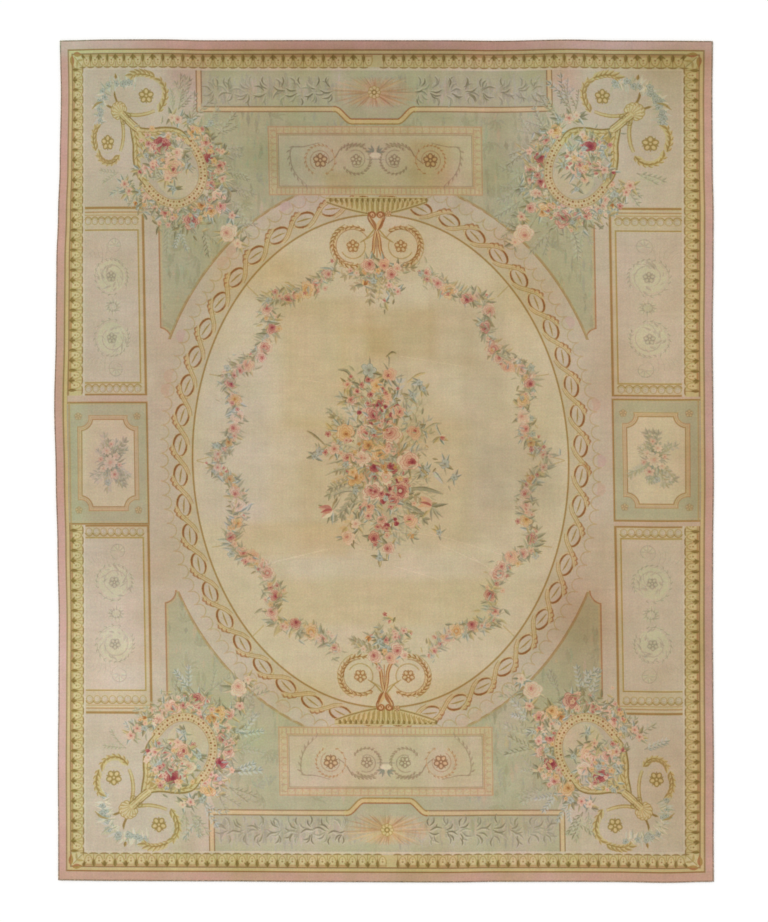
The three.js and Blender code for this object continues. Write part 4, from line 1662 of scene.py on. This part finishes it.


# Age and painted light: where the rug has faded or darkened, partly from age and partly as painted light and
# shade, as x, y, reach across, reach along, and shares of red, green and blue that the place keeps.
AGEING_AND_PAINTED_LIGHT = (
    (-1640, 0, 45, 2600, (1.01, 1.05, 1.04)),
    (0, 2180, 1500, 80, (0.86, 0.84, 0.83)),
    (60, 2225, 700, 40, (0.94, 0.94, 0.94)),
    (1400, 2215, 500, 40, (1.03, 1.12, 1.21)),
    (-1450, 2050, 520, 380, (0.98, 1.01, 1.02)),
    (-1700, 2215, 450, 60, (1.01, 1.15, 1.15)),
    (-1722, 530, 32, 520, (0.95, 1.0, 0.92)),
    (-1722, -1150, 32, 620, (1.05, 1.11, 1.14)),
    (1732, 650, 32, 600, (0.955, 1.01, 1.07)),
    (1732, -1150, 32, 620, (0.95, 0.98, 1.02)),
    (0, -2220, 3000, 34, (0.945, 0.97, 0.90)),
    (0, 1640, 620, 330, (0.895, 0.885, 0.85)),
    (-470, 1600, 160, 200, (0.96, 0.98, 1.02)),
    (590, 1740, 90, 260, (0.95, 0.94, 0.90)),
    (1050, 1750, 500, 500, (0.985, 1.01, 1.02)),
    (1500, 0, 420, 2300, (0.985, 0.965, 0.93)),
    (1450, 650, 200, 420, (1.04, 1.03, 1.04)),
    (1650, 0, 80, 320, (0.94, 0.92, 0.91)),
    (1050, -950, 220, 260, (0.93, 0.90, 0.87)),
    (-1050, 1080, 260, 320, (0.95, 0.96, 0.95)),
    (-1350, -1500, 600, 700, (1.045, 1.075, 1.09)),
    (-1450, -1150, 220, 520, (1.08, 1.05, 1.08)),
    (-1180, -600, 130, 520, (0.99, 0.97, 0.95)),
    (-1180, 550, 110, 420, (0.99, 0.97, 0.965)),
    (1200, 450, 110, 420, (0.985, 0.96, 0.96)),
    (-300, -1500, 900, 700, (1.03, 1.03, 1.03)),
    (-640, -1700, 330, 260, (1.02, 1.02, 1.06)),
    (0, -2020, 900, 80, (1.08, 1.065, 1.095)),
    (-1470, 0, 200, 330, (0.985, 0.955, 0.995)),
    (0, 1990, 900, 80, (0.97, 0.972, 0.99)),
    (-10, 1985, 150, 90, (0.965, 0.96, 0.965)),
    (-1040, 2045, 110, 90, (0.945, 0.895, 0.895)),
    (960, 2045, 90, 90, (0.97, 0.895, 0.85)),
    (-995, -2025, 110, 100, (0.97, 0.95, 0.92)),
    (1050, -2025, 110, 100, (0.99, 0.985, 0.965)),
    (1530, -1680, 240, 440, (0.972, 0.95, 0.93)),
    (-1465, -1455, 200, 180, (0.967, 0.967, 0.95)),
    (-1475, 1465, 220, 150, (0.975, 0.99, 0.98)),
    (1450, 1450, 220, 160, (1.02, 1.03, 1.035)),
    (1160, -745, 110, 400, (1.0, 0.97, 0.955)),
    (-1195, -745, 110, 400, (0.98, 0.972, 0.968)),
    (0, 0, 900, 1300, (0.995, 0.985, 0.975)),
    (1560, 2150, 260, 110, (0.91, 0.90, 0.82)),
    (-620, 2150, 420, 90, (0.95, 0.94, 0.89)),
    (1500, 1930, 240, 200, (0.95, 0.95, 0.92)),
    (250, 1700, 420, 130, (1.04, 1.05, 1.08)),
    (960, 1670, 130, 130, (1.05, 1.05, 1.08)),
    (-660, 1600, 170, 170, (0.955, 0.945, 0.93)),
    (-580, 1010, 230, 130, (0.98, 0.95, 0.87)),
    (640, 1190, 200, 100, (0.975, 0.94, 0.90)),
    (790, 910, 200, 240, (0.96, 0.935, 0.865)),
    (150, 230, 190, 260, (0.965, 0.945, 0.90)),
    (800, -20, 120, 560, (0.965, 0.955, 0.915)),
    (-420, -1230, 200, 90, (0.965, 0.94, 0.87)),
    (1020, -760, 150, 190, (0.955, 0.91, 0.87)),
    (-870, 1010, 90, 160, (1.01, 0.985, 0.93)),
    (330, -1230, 220, 90, (0.97, 0.94, 0.88)),
    (1690, -950, 60, 330, (0.95, 0.945, 0.91)),
    (-860, -1760, 130, 160, (1.06, 1.02, 1.03)),
    (850, -1430, 150, 120, (1.04, 1.02, 1.01)),
)


def clouds(x, y, across, along, seed):
    """Smooth random swings from about -1 to 1, over patches of the given size."""
    columns = int(2 * RUG_HALF_WIDTH / across) + 4
    rows = int(2 * RUG_HALF_LENGTH / along) + 4
    grid = np.random.default_rng(seed).uniform(-1, 1, (rows, columns))
    gx, gy = (x + RUG_HALF_WIDTH) / across + 1, (y + RUG_HALF_LENGTH) / along + 1
    i, j = np.floor(gx).astype(int), np.floor(gy).astype(int)
    u, v = smoothstep(gx - i, 0, 1), smoothstep(gy - j, 0, 1)
    low = grid[j, i] * (1 - u) + grid[j, i + 1] * u
    high = grid[j + 1, i] * (1 - u) + grid[j + 1, i + 1] * u
    return low * (1 - v) + high * v


# Cloudy mottling of the dyes: patch size across and along, and its swing in red, green and blue.
MOTTLING = (
    (330, 300, (0.008, 0.010, 0.020)),
    (170, 110, (0.012, 0.014, 0.030)),
    (90, 46, (0.013, 0.012, 0.014)),
    (120, 120, (0.006, -0.004, -0.002)),
    (56, 84, (0.009, 0.010, 0.011)),
    (50, 50, (0.006, -0.004, 0.003)),
)

# The same for the green grounds and panels towards the two ends, where the dyes vary more: within END_ZONE
# across, and beyond it along.
END_ZONE = (1150, 1250)
END_MOTTLING = (
    (150, 130, (0.020, -0.006, 0.020)),
    (60, 150, (0.014, 0.006, 0.036)),
    (40, 60, (0.012, 0.014, 0.024)),
)

# Rectangular stains and pale streaks in the oval: their sides, how softly they end, and the shares kept.
PATCHES = (
    (-75, 570, 250, 800, 60, (0.945, 0.925, 0.865)),
    (-560, 700, -90, 850, 60, (0.975, 0.955, 0.91)),
    (-520, 190, -210, 660, 50, (0.985, 0.97, 0.925)),
    (-210, 330, 20, 700, 60, (0.985, 0.965, 0.92)),
    (256, 530, 480, 850, 50, (0.965, 0.955, 0.93)),
    (-420, -420, 420, 190, 90, (0.98, 0.962, 0.925)),
    (430, -420, 640, 800, 60, (0.96, 0.955, 0.945)),
    (520, -240, 900, 80, 90, (0.957, 0.955, 0.965)),
    (-780, -500, -200, -340, 40, (0.985, 0.965, 0.925)),
    (-560, -860, 600, -640, 50, (0.98, 0.97, 0.925)),
    (-960, -300, -640, 560, 90, (0.985, 0.99, 1.03)),
    (-500, -640, 500, -520, 50, (1.005, 1.005, 1.02)),
    (-180, 1000, 180, 1200, 90, (0.985, 0.965, 0.92)),
    (150, 1470, 345, 1700, 40, (0.97, 0.935, 0.86)),
    (-290, 1450, -180, 1530, 40, (0.97, 0.94, 0.87)),
    (-560, 1500, -470, 1700, 60, (0.98, 1.0, 1.03)),
)

# The shares above are of what the eye sees, and light is about this power of them.
EYE_POWER = 2.2
END_SEED = 90


def between(value, low, high, soft):
    """Full from low to high, and eased off outside them."""
    rise = smoothstep(value, low - soft, low + soft / 3)
    return rise * (1 - smoothstep(value, high - soft / 3, high + soft))


def mottled(x, y, rows, first_seed, zone=1):
    """Shares of red, green and blue that swing about one in clouds of several sizes."""
    return [
        1 + clouds(x, y, across, along, seed)[:, None] * np.array(swing) * zone
        for seed, (across, along, swing) in enumerate(rows, first_seed)
    ]


def ageing_and_painted_light(x, y):
    """The shares of red, green and blue light at the given places: fading, stains and mottled dye, with
    painted light and shade.
    """
    shares = np.ones((len(x), 3))
    for cx, cy, rx, ry, keep in AGEING_AND_PAINTED_LIGHT:
        weight = np.exp(-(((x - cx) / rx) ** 2) - ((y - cy) / ry) ** 2)[:, None]
        shares *= 1 + (np.array(keep) - 1) * weight
    for left, low, right, high, soft, keep in PATCHES:
        weight = between(x, left, right, soft) * between(y, low, high, soft)
        shares *= 1 + (np.array(keep) - 1) * weight[:, None]
    in_zone = ((np.abs(x) < END_ZONE[0]) & (np.abs(y) > END_ZONE[1]))[:, None]
    for swing in mottled(x, y, MOTTLING, 0) + mottled(x, y, END_MOTTLING, END_SEED, in_zone):
        shares *= swing
    return shares**EYE_POWER


PILE_BANDS = 6


def pile_band(name, blocks, steps):
    """One band of the pile's upper face: a quad for each block of knots, bent over the creases."""
    column, row, width, height = blocks.T
    wide = COLUMNS + 1
    low, high = row * wide + column, (row + height) * wide + column
    corner_ids = np.stack([low, low + width, high + width, high], 1)
    used, faces = np.unique(corner_ids, return_inverse=True)
    x, y = to_rug((used % wide) * STEP_X - HALF_WIDTH, (used // wide) * STEP_Y - HALF_LENGTH)
    points = np.stack([x, y, PILE_TOP + relief(x, y)], 1) * MM
    piece = mesh_from(name, points, faces.reshape(corner_ids.shape))
    add_corner_colours(piece, "yarn", linear(steps[row, column] / SHADES * 255))
    # The age layer: fading and stains, with painted light and shade.
    add_colours(piece, "age_and_painted_light", "POINT", ageing_and_painted_light(x, y))
    add_flat_uv(piece, points)
    return piece


def pile_pieces(loom):
    """The pile in bands across the rug, each a piece of its own."""
    steps = np.round(loom.colour / 255 * SHADES).astype(np.int64)
    code = (steps[..., 0] * CODE_BASE + steps[..., 1]) * CODE_BASE + steps[..., 2]
    blocks = knot_blocks(code)
    blocks = blocks[np.argsort(blocks[:, 1], kind="stable")]
    limits = np.linspace(0, ROWS, PILE_BANDS + 1).astype(int) // LONGEST_RUN * LONGEST_RUN
    pieces = []
    for number, (low, high) in enumerate(zip(limits[:-1], limits[1:]), 1):
        chosen = blocks[(blocks[:, 1] >= low) & (blocks[:, 1] < high)]
        pieces.append(pile_band(f"pile_band_{number}", chosen, steps))
    return pieces


# The slab under the pile: its squares across and along, and how far its upper face lies under the pile's.
BACK_STEPS = (70, 90)
PILE_DEPTH = 0.6


def carpet_back():
    """The foundation under the pile: a thin closed slab with a flat underside and a creased upper face."""
    across, along = BACK_STEPS
    design_x = np.linspace(-HALF_WIDTH, HALF_WIDTH, across + 1)
    design_y = np.linspace(-HALF_LENGTH, HALF_LENGTH, along + 1)
    x, y = to_rug(*(grid.ravel() for grid in np.meshgrid(design_x, design_y)))
    upper = np.stack([x, y, PILE_TOP - PILE_DEPTH + relief(x, y)], 1)
    lower = np.stack([x, y, 0 * x], 1)
    count = len(x)
    wide = across + 1
    j, i = np.meshgrid(np.arange(along), np.arange(across), indexing="ij")
    a = (j * wide + i).ravel()
    top_faces = np.stack([a, a + 1, a + wide + 1, a + wide], 1)
    bottom_faces = top_faces[:, ::-1] + count
    rim = np.concatenate([
        np.arange(across),
        np.arange(along) * wide + across,
        along * wide + np.arange(across, 0, -1),
        np.arange(along, 0, -1) * wide,
    ])
    after = np.roll(rim, -1)
    side_faces = np.stack([rim, rim + count, after + count, after], 1)
    points = np.vstack([upper, lower]) * MM
    piece = mesh_from("carpet_foundation", points, np.vstack([top_faces, bottom_faces, side_faces]), False)
    add_colours(piece, "yarn", "POINT", linear(mix("field", "ivory", 0.2)))
    return piece


# The wool over the edges: the length of one turn, its rings and sides, how far a turn falls off at its
# second ring, how much the turns vary in girth and in shade, their slant, and what is left at the ends.
TURN_PITCH = 5.4
WRAP_RINGS = 2
WRAP_SIDES = 9
TURN_FALL = 0.13
TURN_SPREAD = 0.03
SHADE_SPREAD = 0.07
TURN_LEAN = 0.9
END_SHARE = 0.04


def wrap_piece(name, route, sideways, seed):
    """Wool wrapped over an edge cord: a roll of turns that stand a little proud, with pointed ends."""
    chance = np.random.default_rng(seed)
    steps = line_lengths(route)
    turns = int(steps[-1] / TURN_PITCH)
    rings = turns * WRAP_RINGS + 1
    at = np.linspace(0, steps[-1], rings)
    centre = np.stack([np.interp(at, steps, route[:, k]) for k in (0, 1)], 1)
    proud = 1 - TURN_FALL * (np.arange(rings) % WRAP_RINGS)
    proud = proud * (1 + np.repeat(chance.normal(0, TURN_SPREAD, turns + 1), WRAP_RINGS)[:rings])
    proud[[0, -1]] = END_SHARE
    angle = TAU * (np.arange(WRAP_SIDES) + 0.5) / WRAP_SIDES - TAU / 4
    lean = TURN_LEAN * np.sin(angle)[None, :]
    across = np.cos(angle)[None, :] * WRAP_WIDTH / 2 * proud[:, None]
    up = np.maximum(WRAP_HEIGHT / 2 * (1 + np.sin(angle)[None, :] * proud[:, None]), 0.0)
    tangent = np.gradient(centre, axis=0)
    tangent /= np.hypot(*tangent.T)[:, None]
    x = centre[:, :1] + sideways[0] * across + tangent[:, :1] * lean
    y = centre[:, 1:] + sideways[1] * across + tangent[:, 1:] * lean
    points = np.stack([x, y, up], -1).reshape(-1, 3)
    j, i = np.meshgrid(np.arange(rings - 1), np.arange(WRAP_SIDES), indexing="ij")
    here, after = j * WRAP_SIDES + i, j * WRAP_SIDES + (i + 1) % WRAP_SIDES
    faces = np.stack([here, after, after + WRAP_SIDES, here + WRAP_SIDES], -1).reshape(-1, 4)
    piece = mesh_from(name, points * MM, faces)
    shade = np.repeat(chance.normal(1, SHADE_SPREAD, turns + 1), WRAP_RINGS)[: rings - 1]
    tint = mix("guard", "slate", 0.45)[None, :] * np.repeat(shade, WRAP_SIDES)[:, None]
    add_corner_colours(piece, "yarn", linear(np.clip(tint, 0, 255)))
    # The age layer: fading and stains, with painted light and shade.
    add_colours(piece, "age_and_painted_light", "POINT", ageing_and_painted_light(points[:, 0], points[:, 1]))
    return piece


def edge_wraps():
    """The four wrapped edges, each along its side of the outline."""
    half = WRAP_WIDTH / 2
    routes = {}
    for name, edge, sign in (("left", left_edge, 1), ("right", right_edge, -1)):
        far = -sign * RUG_HALF_WIDTH
        y = np.linspace(bottom_edge(far), top_edge(far), 300)
        routes["edge_wrap_" + name] = (np.stack([edge(y) + sign * half, y], 1), (-1, 0))
    for name, edge, sign in (("top", top_edge, -1), ("bottom", bottom_edge, 1)):
        far = -sign * RUG_HALF_LENGTH
        x = np.linspace(left_edge(far) + INSET, right_edge(far) - INSET, 240)
        routes["edge_wrap_" + name] = (np.stack([x, edge(x) + sign * half], 1), (0, 1))
    pieces = []
    for seed, (node, (route, sideways)) in enumerate(routes.items()):
        piece = wrap_piece(node + "_wool", route, sideways, 80 + seed)
        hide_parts(node)
        pieces.append(piece)
    return pieces


EVEN = (1, 1, 1)


class Graph:
    """A material's nodes, added one at a time."""

    def __init__(self, name):
        self.material = bpy.data.materials.new(name)
        self.material.use_nodes = True
        self.nodes = self.material.node_tree.nodes
        self.links = self.material.node_tree.links
        self.shader = self.nodes["Principled BSDF"]

    def add(self, kind, **values):
        node = self.nodes.new(kind)
        for name, value in values.items():
            setattr(node, name, value)
        return node

    def join(self, source, target):
        self.links.new(source, target)

    def yarn(self, *layers):
        """The mesh's own colours, layer times layer."""
        colours = [self.add("ShaderNodeVertexColor", layer_name=name).outputs["Color"] for name in layers]
        return functools.reduce(self.times, colours)

    def bump(self, height, strength, distance):
        """Fine relief of the surface's shading."""
        bump = self.add("ShaderNodeBump")
        bump.inputs["Strength"].default_value = strength
        bump.inputs["Distance"].default_value = distance
        self.join(height, bump.inputs["Height"])
        self.join(bump.outputs["Normal"], self.shader.inputs["Normal"])

    def finish(self, colour, sheen):
        """The matt finish of wool under its colour."""
        self.join(colour, self.shader.inputs["Base Color"])
        self.shader.inputs["Roughness"].default_value = 0.92
        self.shader.inputs["Specular IOR Level"].default_value = 0.12
        self.shader.inputs["Sheen Weight"].default_value = sheen
        self.shader.inputs["Sheen Roughness"].default_value = 0.6
        return self.material

    def noise(self, scale, stretch=EVEN, detail=2.0):
        place = self.add("ShaderNodeTexCoord")
        mapping = self.add("ShaderNodeMapping")
        mapping.inputs["Scale"].default_value = stretch
        texture = self.add("ShaderNodeTexNoise")
        texture.inputs["Scale"].default_value = scale
        texture.inputs["Detail"].default_value = detail
        self.join(place.outputs["Object"], mapping.inputs["Vector"])
        self.join(mapping.outputs["Vector"], texture.inputs["Vector"])
        return texture.outputs["Fac"]

    def math(self, operation, first, second):
        node = self.add("ShaderNodeMath", operation=operation)
        for socket, value in zip(node.inputs, (first, second)):
            if isinstance(value, (int, float)):
                socket.default_value = value
            else:
                self.join(value, socket)
        return node.outputs[0]

    def vary(self, source, amount):
        """One plus or minus a share of a noise that swings about a half."""
        return self.math("ADD", self.math("MULTIPLY", self.math("SUBTRACT", source, 0.5), 2 * amount), 1.0)

    def tint(self, scale, amount):
        """Red, green and blue that each swing a little about one, in small patches."""
        place = self.add("ShaderNodeTexCoord")
        texture = self.add("ShaderNodeTexNoise")
        texture.inputs["Scale"].default_value = scale
        swing = self.add("ShaderNodeVectorMath", operation="MULTIPLY_ADD")
        swing.inputs[1].default_value = (2 * amount,) * 3
        swing.inputs[2].default_value = (1 - amount,) * 3
        self.join(place.outputs["Object"], texture.inputs["Vector"])
        self.join(texture.outputs["Color"], swing.inputs[0])
        return swing.outputs[0]

    def times(self, first, second):
        node = self.add("ShaderNodeMix", data_type="RGBA", blend_type="MULTIPLY")
        node.inputs["Factor"].default_value = 1.0
        self.join(first, node.inputs[6])
        self.join(second, node.inputs[7])
        return node.outputs[2]


# How the pile's colour varies finely: noise scale, its stretch along x, y and z, its detail, and its swing.
PILE_SWINGS = (
    (7.0, (0.5, 8.0, 1.0), 4.0, 0.06),
    (7.0, (9.0, 0.45, 1.0), 4.0, 0.06),
    (14.0, (1.0, 1.2, 1.0), 5.0, 0.09),
    (110.0, EVEN, 3.0, 0.16),
)


def pile_material():
    """Knotted wool: the yarn's colour, its age and painted light, faint streaks along and across the weave,
    and a nap.
    """
    graph = Graph("wool_pile")
    swings = [
        graph.vary(graph.noise(scale, stretch, detail), amount)
        for scale, stretch, detail, amount in PILE_SWINGS
    ]
    factor = functools.reduce(functools.partial(graph.math, "MULTIPLY"), swings)
    colour = graph.times(graph.times(graph.yarn("yarn", "age_and_painted_light"), factor), graph.tint(90.0, 0.10))
    nap = graph.math("ADD", graph.noise(240.0), graph.noise(26.0, EVEN, 3.0))
    graph.bump(nap, 0.5, 0.0012)
    return graph.finish(colour, 0.12)


def edge_material():
    """The wrapped wool: its colour, its age and painted light, uneven in short lengths, and fine fibres."""
    graph = Graph("edge_wool")
    uneven = graph.vary(graph.noise(40.0, EVEN, 3.0), 0.2)
    graph.bump(graph.noise(700.0), 0.4, 0.0006)
    return graph.finish(graph.times(graph.yarn("yarn", "age_and_painted_light"), uneven), 0.1)


def back_material():
    """The woven back: its pale cotton ground with fine ribs."""
    graph = Graph("carpet_back")
    ribs = graph.vary(graph.noise(14.0, (1.0, 26.0, 1.0)), 0.16)
    weave = graph.vary(graph.noise(320.0), 0.2)
    return graph.finish(graph.times(graph.yarn("yarn"), graph.math("MULTIPLY", ribs, weave)), 0.05)


# The floor, in metres: half its side, and how far it lies under the rug.
FLOOR_HALF = 60.0
FLOOR_DROP = 0.0006


def floor():
    """A plain pale floor."""
    places = [(x * FLOOR_HALF, y * FLOOR_HALF, -FLOOR_DROP) for x, y in ((-1, -1), (1, -1), (1, 1), (-1, 1))]
    piece = mesh_from("floor", np.array(places), np.array([[0, 1, 2, 3]]), False)
    graph = Graph("floor")
    graph.shader.inputs["Base Color"].default_value = (0.97, 0.97, 0.965, 1)
    graph.shader.inputs["Roughness"].default_value = 0.9
    graph.shader.inputs["Specular IOR Level"].default_value = 0.0
    piece.data.materials.append(graph.material)


# How much of a white surface's brightness comes from the sky and from the sun, and the sun's tilt and width.
SKY_SHARE = 0.66
SUN_SHARE = 0.38
SUN_TILT = 38.0
SUN_WIDTH = 30.0


def lights():
    """Even light from all round, and a wide soft one from the upper left."""
    world = bpy.data.worlds.new("studio")
    bpy.context.scene.world = world
    world.use_nodes = True
    background = world.node_tree.nodes["Background"]
    background.inputs["Color"].default_value = (1.0, 1.0, 1.0, 1)
    background.inputs["Strength"].default_value = SKY_SHARE
    sun = bpy.data.lights.new("soft_key", "SUN")
    sun.energy = SUN_SHARE * math.pi / math.cos(math.radians(SUN_TILT))
    sun.angle = math.radians(SUN_WIDTH)
    lamp = bpy.data.objects.new("soft_key", sun)
    turn = math.radians(-SUN_TILT * 0.7)
    lamp.rotation_euler = (turn, turn, 0)
    bpy.context.scene.collection.objects.link(lamp)
    bpy.context.scene.view_settings.view_transform = "Standard"


def camera():
    """Straight above the middle, a long lens, the whole rug in the picture."""
    data = bpy.data.cameras.new("camera")
    data.sensor_fit = "HORIZONTAL"
    data.sensor_width = SENSOR
    data.lens = SENSOR * CAMERA_HEIGHT / (PICTURE_WIDTH * PIXEL * MM)
    data.clip_end = 100
    eye = bpy.data.objects.new("camera", data)
    eye.location = (0, 0, CAMERA_HEIGHT + PILE_TOP * MM)
    bpy.context.scene.collection.objects.link(eye)
    bpy.context.scene.camera = eye


camera()
lights()
floor()

pile = pile_pieces(woven_design())
wool = pile_material()
for piece in pile:
    piece.data.materials.append(wool)
    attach(piece, "root")

back = carpet_back()
back.data.materials.append(back_material())
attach(back, "root")
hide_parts("rug")

wraps = edge_wraps()
edge = edge_material()
for piece in wraps:
    piece.data.materials.append(edge)
    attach(piece, "root")
